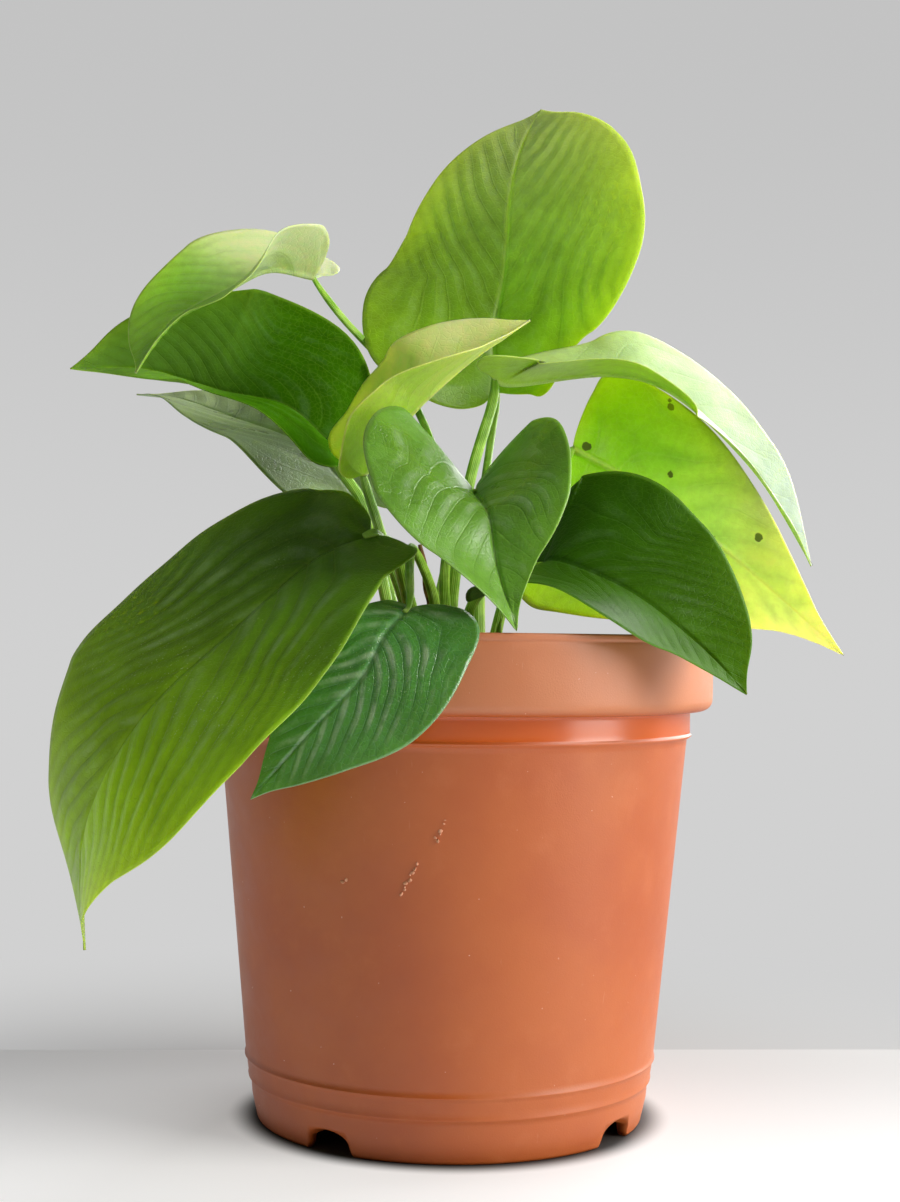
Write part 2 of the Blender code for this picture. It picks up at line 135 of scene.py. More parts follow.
# ---------------------------------------------------------------- blades
HEEL_END = 0.45  # share of the length over which a narrowed heel grows to full width
SWEEP = 1.25  # above 1, rows start nearer the stalk and curve towards the tip, as the side veins do
SPREAD = 1.35  # above 1, columns lie closer together near the midrib
VEIN_LEAN = 0.9  # how far a side vein runs forwards for each millimetre outwards
# Half outline of a pothos blade from the notch at the stalk to the tip, as shares of length and half width.
HALF_OUTLINE = [
    (-0.01, 0.04),
    (-0.09, 0.17),
    (-0.13, 0.40),
    (-0.09, 0.66),
    (0.04, 0.90),
    (0.22, 1.00),
    (0.44, 0.92),
    (0.64, 0.68),
    (0.81, 0.38),
    (0.92, 0.14),
    (1.0, 0.0),
]
# Pairs hold the left and the right half, seen from the stalk with the upper side up.
# midrib: route from the stalk to the tip.
# face: which way the upper side looks at the stalk, the middle and the tip.
# width: half width in millimetres.
# fold: how far the half rises from flat, in degrees, at the stalk, the middle and the tip.
# cup: how many degrees more it has risen at its edge.
# lobe: how far its lobe reaches back past the stalk, as a share of the usual lobe.
# peak: above 1, the widest place moves towards the tip; below 1, towards the stalk.
# full: above 1, the half narrows faster towards its ends; below 1, it stays fuller.
# heel: its width beside the stalk, as a share of the usual width.
BLADES = {
    1: dict(
        midrib=[(10, 31, 179), (9, 36, 194), (12, 40, 213), (13, 42, 232), (16, 49, 247), (22, 64, 262)],
        face=[(-0.1, -1.0, 0.2), (-0.3, -0.7, 0.3), (-0.1, -0.5, 0.9)], width=(35, 39.5),
        fold=((30, 0, 12), (-3, 3, 16)), cup=(0, 0), lobe=(0.5, 0.1), peak=(1.0, 1.7), full=(1.15, 0.97),
        heel=(1, 0.5),
    ),
    2: dict(
        midrib=[
            (9, 6, 179), (14.5, 9, 178.5), (39, 15.5, 182), (57, 25, 177.5), (78, 28, 158),
            (93, 33, 135),
        ],
        face=[(0.1, -0.2, 0.9), (0.4, 0.0, 0.6), (1.1, -0.4, 0.2)], width=(20, 21),
        fold=((22, 36, 30), (30, 0, 20)), cup=(-5, -12), lobe=(0.1, 0.7), peak=(1.35, 1.35),
        full=(1.0, 1.0), heel=(0.6, 1),
    ),
    3: dict(
        midrib=[(29, 16, 163), (47, 21.5, 154), (68, 22, 139), (85, 17, 124), (97, 11, 112)],
        face=[(0.0, 1.0, 0.0), (0.3, 0.6, 0.5), (0.3, 0.7, 0.5)], width=(41, 25),
        fold=((5, 10, 20), (10, 10, 10)), cup=(0, 12), lobe=(1.0, 0.1), peak=(0.8, 0.65),
        full=(1.1, 1.05), heel=(1, 1),
    ),
    4: dict(
        midrib=[(19, -22, 132), (24, -28, 133), (39, -38, 126), (53, -44, 115), (63, -52, 104)],
        face=[(0.0, -0.7, 0.7), (0.3, -0.5, 0.7), (0.6, -0.8, 0.3)], width=(32, 28),
        fold=((15, 15, 15), (12, 12, 12)), cup=(5, 5), lobe=(1.0, 0.8), peak=(1.0, 1.0), full=(1.0, 1.0),
        heel=(1, 1),
    ),
    5: dict(
        midrib=[(4, -22, 149), (4.5, -33, 147), (7, -48, 142), (9, -55, 130), (13, -62, 117)],
        face=[(0, -0.2, 1), (0, -0.6, 0.8), (0.2, -0.8, 0.5)], width=(25, 30),
        fold=((50, 20, 30), (50, 20, 40)), cup=(0, 0), lobe=(0.8, 0.8), peak=(0.8, 1.05), full=(1.2, 1.0),
        heel=(1, 1),
    ),
    6: dict(
        midrib=[(-22, -12, 154), (-12, -13, 167), (-5, -13.5, 174), (5, -10, 183), (17, -9, 191)],
        face=[(-0.5, -0.1, 0.7), (-0.4, 0.0, 0.8), (0.2, -0.5, 0.9)], width=(18, 18),
        fold=((50, 50, 42), (28, 29, 26)), cup=(5, 0), lobe=(0.2, 0.5), peak=(1.1, 1.0), full=(0.95, 1.0),
        heel=(1, 1),
    ),
    7: dict(
        midrib=[(-30.5, 5.5, 162), (-42, 4.5, 171.5), (-58, 7, 175), (-78, 11, 181), (-97, 12, 181)],
        face=[(0.3, -0.3, 0.9), (0.3, -0.4, 0.8), (-0.2, -0.6, 0.5)], width=(27, 32),
        fold=((2, 30, 15), (16, 35, 17)), cup=(0, 7), lobe=(0.5, 0.7), peak=(0.7, 1.15), full=(1.1, 0.95),
        heel=(1, 1),
    ),
    8: dict(
        midrib=[(-37, 18, 206), (-48, 15, 207), (-58, 11, 201), (-71, 6, 192), (-78, -4, 178)],
        face=[(0, -0.1, 1), (-0.2, -0.6, 0.8), (-0.7, -0.4, 0.6)], width=(20, 20),
        fold=((37, 20, 20), (24, 19, 17)), cup=(6, 6), lobe=(0.2, 1.0), peak=(1.0, 1.05), full=(1.0, 1.0),
        heel=(1, 1),
    ),
    9: dict(
        midrib=[(-24, 14, 149), (-40, 35, 165), (-61, 53, 174), (-78, 71, 181), (-93, 85, 184)],
        face=[(0.3, -0.7, 0.6), (0.2, -0.4, 0.8), (0.2, -0.4, 0.8)], width=(26, 26),
        fold=((10, 14, 11), (10, 11, 7)), cup=(5, 0), lobe=(0.8, 0.6), peak=(1.0, 1.0), full=(1.0, 1.0),
        heel=(1, 1),
    ),
    10: dict(
        midrib=[
            (-18.5, -42, 138), (-30.5, -47, 132.5), (-48, -56, 116), (-66, -64, 97), (-78, -58, 74),
            (-80, -47, 46),
        ],
        face=[(-0.2, -0.5, 0.9), (-0.5, -0.6, 0.3), (-0.8, -0.4, 0.3)], width=(35, 35),
        fold=((0, 0, 15), (8, 3, 4)), cup=(0, -8), lobe=(0.2, 0.25), peak=(1.5, 1.2), full=(1.0, 0.95),
        heel=(0.7, 1),
    ),
    11: dict(
        midrib=[(-10, -58, 121.5), (-14.5, -69, 116), (-19, -74, 107), (-29, -76, 96), (-41, -75, 82)],
        face=[(0.1, -0.75, 0.65), (-0.1, -0.95, 0.2), (-0.4, -0.9, 0.2)], width=(19, 14),
        fold=((12, 2, 12), (-14, -14, -8)), cup=(0, 0), lobe=(0.6, 0.3), peak=(1.05, 1.2),
        full=(1.05, 1.1), heel=(1, 0.7),
    ),
}

BLADE_ROWS = 132
BLADE_COLUMNS = 30
BLADE_THICKNESS = 0.5
MARGIN_THICKNESS = 0.26
MIDRIB_WIDTH = 1.1  # half width of the midrib at the stalk

# How each blade looks. upper: tone of its upper side at the stalk and at the tip, which is its own colour
# with painted light and shade in it. under: the same of its underside. vein: tone of its midrib. glow: share
# of light that passes into the blade. veins: side veins on each half. quilt: how far the blade rises between
# them, in millimetres. streak: how much lighter it is painted between them and darker on them, as painted
# shade of that rise. spots, frost: strength of its dark spots and of its pale speckle. gloss: how much its
# skin shines. skin: how rough it is. halves: how light its left and right halves are coloured, as painted
# light and shade. lean: how far its side veins run forwards. rib: how pale its midrib is. ripe: where along
# it the tone at the tip starts and is reached. bloom: strength of its painted sheen, in pale streaks.
LOOKS = {
    1: dict(
        upper=("#7aa214", "#a8b870"), under=("#7fb244", "#7fb244"), vein="#b4d060", glow=0.8, veins=9,
        quilt=0.35, streak=0.05, halves=(0.86, 1.1), lean=1.5, rib=0.4, gloss=0.35, painted_sheen=0.16,
    ),
    2: dict(
        upper=("#c0e684", "#b0c4b0"), under=("#acd24a", "#9fc050"), vein="#cfe3a4", glow=0.6, veins=8,
        quilt=0.2, streak=0.04, rib=0.3, painted_sheen=0.15,
    ),
    3: dict(
        upper=("#9cc022", "#c4dc48"), under=("#9cd018", "#e0ffac"), vein="#dcec88", glow=1.0, veins=8,
        quilt=0.3, streak=0.06, spots=1.0, rib=0.3, lean=1.0, painted_sheen=0.05,
    ),
    4: dict(
        upper=("#2c5405", "#426c08"), under=("#6f9c46", "#6f9c46"), vein="#5f8f34", glow=0.25, veins=10,
        quilt=0.18, streak=0.04, gloss=0.1, halves=(1.0, 1.0), rib=0.25, skin=0.3, lean=1.1, painted_sheen=0.05,
    ),
    5: dict(
        upper=("#609426", "#70a436"), under=("#7da355", "#7da355"), vein="#9cc06c", glow=0.3, veins=7,
        quilt=0.12, streak=0.03, gloss=0.55, halves=(1.05, 0.85), rib=0.25, skin=0.22, lean=1.1,
        painted_sheen=0.4,
    ),
    6: dict(
        upper=("#b8f450", "#d8ff94"), under=("#98d034", "#ccfc6c"), vein="#e8f2a0", glow=0.9, veins=6,
        quilt=0.15, streak=0.04, rib=0.4, halves=(1.25, 1.25), painted_sheen=0.0,
    ),
    7: dict(
        upper=("#386a06", "#94c450"), under=("#305808", "#9cc860"), vein="#7fa840", glow=0.5, veins=11,
        quilt=0.25, streak=0.05, gloss=0.0, rib=0.2, lean=1.1, tip_span=(0.25, 1.0), halves=(1.0, 0.68),
        painted_sheen=0.05,
    ),
    8: dict(
        upper=("#e4ffb4", "#88bc3c"), under=("#e4ffb4", "#88bc3c"), vein="#d4e6a0", glow=0.6, veins=11,
        quilt=0.3, streak=0.06, tip_span=(0.0, 0.6), rib=0.4, gloss=0.3, painted_sheen=0.15, halves=(1.2, 1.2),
    ),
    9: dict(
        upper=("#8ca46c", "#acbe8c"), under=("#86a668", "#86a668"), vein="#a4b88c", glow=0.3, veins=11,
        quilt=0.3, streak=0.08, gloss=0.5, skin=0.26, rib=0.2, painted_sheen=0.3,
    ),
    10: dict(
        upper=("#4a7010", "#9cc414"), under=("#6f9c46", "#8fb040"), vein="#92ac40", glow=0.5, veins=13,
        quilt=0.55, streak=0.07, frost=1.0, gloss=0.3, halves=(1.5, 1.05), lean=1.5, rib=0.12, skin=0.28,
        tip_span=(0.15, 1.0), painted_sheen=0.24,
    ),
    11: dict(
        upper=("#44802f", "#54903c"), under=("#7da67f", "#7da67f"), vein="#8fb894", glow=0.25, veins=11,
        quilt=0.35, streak=0.05, frost=0.8, gloss=1.0, lean=1.2, rib=0.15, skin=0.18, painted_sheen=0.6,
    ),
}


# ---------------------------------------------------------------- shader nodes
def linear(colour):
    """An sRGB hex colour as linear red, green, blue and alpha."""
    channels = [int(colour[i : i + 2], 16) / 255 for i in (1, 3, 5)]
    return (*[c / 12.92 if c <= 0.04045 else ((c + 0.055) / 1.055) ** 2.4 for c in channels], 1.0)


SMOOTH = {"interpolation_type": "SMOOTHSTEP"}  # a MapRange node that eases at both ends
COLOUR = {"data_type": "RGBA"}  # a Mix node for colours: inputs 0, 6 and 7, output 2
TIMES, PLUS, MINUS = ({"operation": name} for name in ("MULTIPLY", "ADD", "SUBTRACT"))


def add(material, kind, links=(), give=0, **settings):
    """Add a node and hand back one of its outputs.

    links gives its inputs in their order, or by name or index, as another node's output or a plain value.
    settings are the node's own, and give says which output.
    """
    node = material.node_tree.nodes.new("ShaderNode" + kind)
    for key, value in settings.items():
        setattr(node, key, value)
    for key, value in dict(links if isinstance(links, dict) else enumerate(links)).items():
        if isinstance(value, bpy.types.NodeSocket):
            material.node_tree.links.new(value, node.inputs[key])
        else:
            node.inputs[key].default_value = value
    return node.outputs[give]


def new_material(name, **settings):
    """A material with its own Principled shader, whose sockets are set by their names."""
    material = bpy.data.materials.new(name)
    material.use_nodes = True
    shader = material.node_tree.nodes["Principled BSDF"]
    for key, value in settings.items():
        shader.inputs[key.replace("_", " ").title().replace("Ior", "IOR")].default_value = value
    return material, shader


# ---------------------------------------------------------------- materials
def blade_material(number, look):
    """Living pothos blade: a waxy, half-gloss skin over soft green tissue that lets light through.

    The midrib and side veins are paler than the tissue between them, the margin is a thin pale line, and the
    underside is duller and lighter than the upper side.
    """
    made, shader = new_material(f"waxy_blade_{number:02d}")
    shader.inputs["IOR"].default_value = 1.45
    shader.inputs["Specular IOR Level"].default_value = look.get("gloss", 0.3)
    shader.inputs["Subsurface Weight"].default_value = look["glow"]
    shader.inputs["Subsurface Radius"].default_value = (0.85, 1.0, 0.10)
    shader.inputs["Subsurface Scale"].default_value = 0.0018

    where = add(made, "TexCoord", give="Object")
    underside = add(made, "Attribute", give="Fac", attribute_name="underside")
    along = add(made, "Attribute", give="Fac", attribute_name="along")
    edge = add(made, "Attribute", give="Fac", attribute_name="edge")
    rib = add(made, "Attribute", give="Fac", attribute_name="rib")
    side = add(made, "Attribute", give="Fac", attribute_name="side")
    across = add(made, "Math", (side,), operation="ABSOLUTE")
    cloud = add(made, "TexNoise", {"Vector": where, "Scale": 1 / (16 * MM), "Detail": 3, "Roughness": 0.55})
    fine = add(made, "TexNoise", {"Vector": where, "Scale": 1 / (2.2 * MM), "Detail": 4, "Roughness": 0.6})
    # Side veins: a phase that is whole on each vein, and half-way between them on the weaker ones.
    step = add(made, "Math", (
        add(made, "Math", (add(made, "Math", (rib,), operation="FRACT"), 0.5), **MINUS),
    ), operation="ABSOLUTE")
    on_vein = add(made, "MapRange", (step, 0.44, 0.5), **SMOOTH)
    weak_vein = add(made, "MapRange", (step, 0.07, 0.0), **SMOOTH)
    fading = add(made, "MapRange", (edge, 1.0, 0.55, 0.15, 1.0), **SMOOTH)
    side_veins = add(made, "Math", (
        add(made, "Math", (on_vein, add(made, "Math", (weak_vein, 0.45), **TIMES)), operation="MAXIMUM"),
        fading,
    ), **TIMES)
    # The midrib narrows from the stalk to the tip.
    width = add(made, "MapRange", (along, 0.0, 1.0, MIDRIB_WIDTH, 0.32))
    midrib = add(made, "MapRange", (
        add(made, "Math", (across, width), operation="DIVIDE"),
        1.0,
        0.45,
    ), **SMOOTH)
    margin = add(made, "MapRange", (edge, 0.965, 0.995), **SMOOTH)
    net = {"Vector": where, "Scale": 1 / (1.5 * MM)}
    cells = add(made, "TexVoronoi", net, "Distance", feature="DISTANCE_TO_EDGE")
    small_veins = add(made, "MapRange", (cells, 0.12, 0.0), **SMOOTH)

    # From the stalk to the tip the tone changes: partly the blade's own colour, partly painted light and
    # shade.
    colour_and_light_along = add(made, "MapRange", (along, *look.get("tip_span", (0.05, 0.95))), **SMOOTH)
    upper_start, upper_tip = (linear(tone) for tone in look["upper"])
    under_start, under_tip = (linear(tone) for tone in look["under"])
    upper = add(made, "Mix", {0: colour_and_light_along, 6: upper_start, 7: upper_tip}, 2, **COLOUR)
    under = add(made, "Mix", {0: colour_and_light_along, 6: under_start, 7: under_tip}, 2, **COLOUR)
    colour = add(made, "Mix", {0: underside, 6: upper, 7: under}, 2, **COLOUR)
    # Painted light and shade: one half of the blade is coloured lighter or darker than the other.
    halves = add(made, "MapRange", (side, -0.5, 0.5, *look.get("halves", (1.0, 1.0))), **SMOOTH)
    tone = add(made, "Math", (
        add(made, "MapRange", (cloud, 0.3, 0.7, 0.86, 1.12), **SMOOTH),
        add(made, "MapRange", (fine, 0.3, 0.7, -0.06, 0.06), **SMOOTH),
    ), **PLUS)
    # Painted shade of the quilting: lighter between the side veins, darker on them.
    tone = add(made, "Math", (
        tone,
        add(made, "MapRange", (step, 0.5, 0.05, -look["streak"], look["streak"]), **SMOOTH),
    ), **PLUS)
    tone = add(made, "Math", (tone, halves), **TIMES)
    colour = add(made, "HueSaturation", {"Value": tone, "Color": colour})
    paler = ((small_veins, 0.07), (side_veins, 0.09), (midrib, look.get("rib", 0.5)), (margin, 0.3))
    for share, strength in paler:
        colour = add(made, "Mix", {
            0: add(made, "Math", (share, strength), **TIMES),
            6: colour,
            7: linear(look["vein"]),
        }, 2, **COLOUR)
    # A painted sheen is coloured on one flank of each raised part, in broken pale streaks.
    turn = add(made, "Math", (rib,), operation="FRACT")
    flank = add(made, "Math", (
        add(made, "MapRange", (turn, 0.35, 0.6), **SMOOTH),
        add(made, "MapRange", (turn, 0.95, 0.7), **SMOOTH),
    ), **TIMES)
    broken = add(made, "MapRange", (
        add(made, "TexNoise", {"Vector": where, "Scale": 1 / (9 * MM), "Detail": 4, "Roughness": 0.65}),
        0.38,
        0.72,
    ), **SMOOTH)
    inward = add(made, "MapRange", (edge, 0.95, 0.6, 0.1, 1.0), **SMOOTH)
    painted_sheen = add(made, "Math", (
        add(made, "Math", (flank, broken), **TIMES),
        add(made, "Math", (inward, look.get("painted_sheen", 0.1)), **TIMES),
    ), **TIMES)
    colour = add(made, "Mix", {0: painted_sheen, 6: colour, 7: linear("#b4c8a4")}, 2, **COLOUR)
    if look.get("frost"):
        dots = add(made, "TexNoise", {"Vector": where, "Scale": 1 / (0.55 * MM), "Roughness": 0.7})
        patch = add(made, "MapRange", (
            add(made, "TexNoise", {"Vector": where, "Scale": 1 / (22 * MM), "Detail": 1}),
            0.52,
            0.62,
        ), **SMOOTH)
        frost = add(made, "Math", (add(made, "MapRange", (dots, 0.63, 0.72), **SMOOTH), patch), **TIMES)
        colour = add(made, "Mix", {
            0: add(made, "Math", (frost, 0.55 * look["frost"]), **TIMES),
            6: colour,
            7: linear("#c9d8a8"),
        }, 2, **COLOUR)
    if look.get("spots"):
        spot = add(made, "TexVoronoi", {"Vector": where, "Scale": 1 / (5.5 * MM)})
        size = add(made, "SeparateColor", {0: spot.node.outputs["Color"]})
        near = add(made, "Math", (
            add(made, "MapRange", (size, 0.55, 1.0, 0.0, 0.24), **SMOOTH),
            spot.node.outputs["Distance"],
        ), **MINUS)
        rough_edge = add(made, "MapRange", (fine, 0.3, 0.7, -0.05, 0.05), **SMOOTH)
        dark = add(made, "MapRange", (add(made, "Math", (near, rough_edge), **PLUS), 0.0, 0.05), **SMOOTH)
        colour = add(made, "Mix", {
            0: add(made, "Math", (dark, 0.85), **TIMES),
            6: colour,
            7: linear("#3a3512"),
        }, 2, **COLOUR)
    made.node_tree.links.new(colour, shader.inputs["Base Color"])

    skin = look.get("skin", 0.30)
    sheen = add(made, "MapRange", (cloud, 0.3, 0.7, skin, skin + 0.12), **SMOOTH)
    dull = add(made, "MapRange", (underside, 0.0, 1.0, 0.0, 0.14), **SMOOTH)
    made.node_tree.links.new(add(made, "Math", (sheen, dull), **PLUS), shader.inputs["Roughness"])
    pores = add(made, "TexNoise", {"Vector": where, "Scale": 1 / (0.45 * MM), "Roughness": 0.6})
    height = add(made, "Math", (
        add(made, "Math", (pores, 0.35), **TIMES),
        add(made, "Math", (small_veins, -0.25), **TIMES),
    ), **PLUS)
    height = add(made, "Math", (height, add(made, "Math", (side_veins, 0.55), **TIMES)), **MINUS)
    made.node_tree.links.new(
        add(made, "Bump", {"Height": height, "Distance": 0.16 * MM, "Strength": 0.7}),
        shader.inputs["Normal"],
    )
    return made


def stalk_material():
    """Living leaf stalk: smooth, moist and slightly clear, paler towards the vine, with fine long lines."""
    made, shader = new_material("fleshy_stalk")
    shader.inputs["IOR"].default_value = 1.42
    shader.inputs["Subsurface Weight"].default_value = 0.45
    shader.inputs["Subsurface Radius"].default_value = (0.9, 1.2, 0.3)
    shader.inputs["Subsurface Scale"].default_value = 0.0015
    where = add(made, "TexCoord", give="Object")
    along = add(made, "Attribute", give="Fac", attribute_name="along")
    round_it = add(made, "Attribute", give="Fac", attribute_name="round")
    streak = add(made, "Math", (add(made, "Math", (round_it, 2 * math.pi * 9), **TIMES),), operation="SINE")
    cloud = add(made, "TexNoise", {"Vector": where, "Scale": 1 / (5 * MM), "Detail": 3})
    shade = add(made, "Math", (cloud, add(made, "Math", (streak, 0.07), **TIMES)), **PLUS)
    colour = add(made, "Mix", {
        0: add(made, "MapRange", (shade, 0.3, 0.7), **SMOOTH),
        6: linear("#7cb030"),
        7: linear("#b6e05c"),
    }, 2, **COLOUR)
    colour = add(made, "Mix", {
        0: add(made, "MapRange", (along, 0.35, 0.0, 0.0, 0.7), **SMOOTH),
        6: colour,
        7: linear("#c8dc88"),
    }, 2, **COLOUR)
    flecks = add(made, "MapRange", (
        add(made, "TexNoise", {"Vector": where, "Scale": 1 / (0.8 * MM), "Roughness": 0.7}),
        0.68,
        0.74,
    ), **SMOOTH)
    colour = add(made, "Mix", {
        0: add(made, "Math", (flecks, 0.4), **TIMES),
        6: colour,
        7: linear("#7c6a34"),
    }, 2, **COLOUR)
    made.node_tree.links.new(colour, shader.inputs["Base Color"])
    made.node_tree.links.new(
        add(made, "MapRange", (cloud, 0.3, 0.7, 0.32, 0.45), **SMOOTH),
        shader.inputs["Roughness"],
    )
    made.node_tree.links.new(
        add(made, "Bump", {
            "Height": add(made, "Math", (
                streak,
                add(made, "TexNoise", {"Vector": where, "Scale": 1 / (0.5 * MM)}),
            ), **PLUS),
            "Distance": 0.03 * MM,
            "Strength": 1.0,
        }),
        shader.inputs["Normal"],
    )
    return made


def vine_material():
    """Older pothos vine: green under a drying skin, with corky tan scars at its joints."""
    made, shader = new_material("corky_vine")
    shader.inputs["IOR"].default_value = 1.45
    where = add(made, "TexCoord", give="Object")
    scar = add(made, "Attribute", give="Fac", attribute_name="scar")
    cloud = add(made, "TexNoise", {"Vector": where, "Scale": 1 / (3 * MM), "Detail": 4, "Roughness": 0.6})
    colour = add(made, "Mix", {
        0: add(made, "MapRange", (cloud, 0.35, 0.65), **SMOOTH),
        6: linear("#6e9434"),
        7: linear("#9cb858"),
    }, 2, **COLOUR)
    colour = add(made, "Mix", {
        0: add(made, "MapRange", (
            add(made, "Math", (
                scar,
                add(made, "MapRange", (cloud, 0.3, 0.7, -0.3, 0.3), **SMOOTH),
            ), **PLUS),
            0.3,
            0.9,
        ), **SMOOTH),
        6: colour,
        7: linear("#a07c4c"),
    }, 2, **COLOUR)
    made.node_tree.links.new(colour, shader.inputs["Base Color"])
    made.node_tree.links.new(
        add(made, "MapRange", (scar, 0.0, 1.0, 0.42, 0.75), **SMOOTH),
        shader.inputs["Roughness"],
    )
    made.node_tree.links.new(
        add(made, "Bump", {
            "Height": add(made, "TexNoise", {
                "Vector": where,
                "Scale": 1 / (0.7 * MM),
                "Detail": 3,
                "Roughness": 0.6,
            }),
            "Distance": 0.12 * MM,
            "Strength": 1.0,
        }),
        shader.inputs["Normal"],
    )
    return made


def sheath_material():
    """Dried leaf sheath: thin papery skin, tan to brown, with dark lengthwise fibres."""
    made, shader = new_material("papery_sheath")
    where = add(made, "TexCoord", give="Object")
    round_it = add(made, "Attribute", give="Fac", attribute_name="round")
    fibre = add(made, "Math", (add(made, "Math", (round_it, 2 * math.pi * 11), **TIMES),), operation="SINE")
    cloud = add(made, "TexNoise", {
        "Vector": where,
        "Scale": 1 / (2.5 * MM),
        "Detail": 4,
        "Roughness": 0.65,
    })
    shade = add(made, "Math", (cloud, add(made, "Math", (fibre, 0.10), **TIMES)), **PLUS)
    colour = add(made, "Mix", {
        0: add(made, "MapRange", (shade, 0.3, 0.7), **SMOOTH),
        6: linear("#5c3418"),
        7: linear("#b98a58"),
    }, 2, **COLOUR)
    made.node_tree.links.new(colour, shader.inputs["Base Color"])
    made.node_tree.links.new(
        add(made, "MapRange", (cloud, 0.3, 0.7, 0.6, 0.9), **SMOOTH),
        shader.inputs["Roughness"],
    )
    made.node_tree.links.new(
        add(made, "Bump", {"Height": shade, "Distance": 0.15 * MM, "Strength": 1.0}),
        shader.inputs["Normal"],
    )
    return made


def pot_material():
    """Injection-moulded polypropylene coloured through with terracotta pigment.

    The mould was spark-eroded, so the body is matt with a fine grain. The neck was polished, so it is
    glossier and deeper in colour. Handling leaves pale scuffs and fine scratches.
    """
    made, shader = new_material("moulded_terracotta_pp")
    shader.inputs["IOR"].default_value = 1.49
    shader.inputs["Specular IOR Level"].default_value = 0.75
    shader.inputs["Subsurface Weight"].default_value = 0.12
    shader.inputs["Subsurface Radius"].default_value = (1.0, 0.45, 0.2)
    shader.inputs["Subsurface Scale"].default_value = 0.0012
    where = add(made, "TexCoord", give="Object")
    polish = add(made, "Attribute", give="Fac", attribute_name="polish")
    inner = add(made, "Attribute", give="Fac", attribute_name="inside")
    cloud = add(made, "TexNoise", {"Vector": where, "Scale": 1 / (38 * MM), "Detail": 4, "Roughness": 0.55})
    blotch = add(made, "TexNoise", {"Vector": where, "Scale": 1 / (9 * MM), "Detail": 4, "Roughness": 0.6})
    colour = add(made, "Mix", {
        0: add(made, "MapRange", (cloud, 0.32, 0.68), **SMOOTH),
        6: linear("#b0500e"),
        7: linear("#ba5c18"),
    }, 2, **COLOUR)
    colour = add(made, "Mix", {
        0: add(made, "MapRange", (blotch, 0.5, 0.75, 0.0, 0.22), **SMOOTH),
        6: colour,
        7: linear("#c87040"),
    }, 2, **COLOUR)
    # The rim is coloured paler than the body.
    height = add(made, "SeparateXYZ", {0: where}, "Z")
    colour = add(made, "Mix", {
        0: add(made, "MapRange", (height, 98.5 * MM, 100.5 * MM, 0.0, 0.38), **SMOOTH),
        6: colour,
        7: linear("#d89a70"),
    }, 2, **COLOUR)
    colour = add(made, "Mix", {
        0: add(made, "Math", (polish, 0.75), **TIMES),
        6: colour,
        7: linear("#d05c10"),
    }, 2, **COLOUR)
    # Pale scuffs lie in patches of short streaks.
    streak_place = add(
        made,
        "Mapping",
        {"Vector": where, "Rotation": (0.3, 0.6, 0.4), "Scale": (1.0, 1.0, 0.12)},
    )
    scuff = add(made, "MapRange", (
        add(made, "TexNoise", {"Vector": streak_place, "Scale": 1 / (1.1 * MM), "Roughness": 0.7}),
        0.69,
        0.78,
    ), **SMOOTH)
    patch = add(made, "MapRange", (
        add(made, "TexNoise", {"Vector": where, "Scale": 1 / (15 * MM)}),
        0.52,
        0.66,
    ), **SMOOTH)
    scuff = add(made, "Math", (scuff, patch), **TIMES)
    colour = add(made, "Mix", {
        0: add(made, "Math", (scuff, 0.22), **TIMES),
        6: colour,
        7: linear("#ecc4ae"),
    }, 2, **COLOUR)
    specks = add(made, "MapRange", (
        add(made, "TexNoise", {"Vector": where, "Scale": 1 / (0.9 * MM), "Detail": 1}),
        0.80,
        0.83,
    ), **SMOOTH)
    colour = add(made, "Mix", {
        0: add(made, "Math", (specks, 0.5), **TIMES),
        6: colour,
        7: linear("#f0d8c8"),
    }, 2, **COLOUR)
    # The inside and the underside are painted darker, as painted shade.
    colour = add(made, "Mix", {
        0: add(made, "Math", (inner, 0.35), **TIMES),
        6: colour,
        7: linear("#8c4020"),
    }, 2, **COLOUR)
    made.node_tree.links.new(colour, shader.inputs["Base Color"])
    dull = add(made, "MapRange", (blotch, 0.3, 0.7, 0.42, 0.52), **SMOOTH)
    rough = add(made, "Mix", {0: polish, 2: dull, 3: 0.25}, data_type="FLOAT")
    made.node_tree.links.new(
        add(made, "Math", (rough, add(made, "Math", (scuff, 0.2), **TIMES)), **PLUS),
        shader.inputs["Roughness"],
    )
    grain = add(made, "TexNoise", {"Vector": where, "Scale": 1 / (0.35 * MM), "Roughness": 0.6})
    height = add(made, "Math", (
        grain,
        add(made, "MapRange", (polish, 0.0, 1.0, 1.0, 0.1), **SMOOTH),
    ), **TIMES)
    made.node_tree.links.new(
        add(made, "Bump", {
            "Height": add(made, "Math", (height, scuff), **MINUS),
            "Distance": 0.035 * MM,
            "Strength": 1.0,
        }),
        shader.inputs["Normal"],
    )
    return made


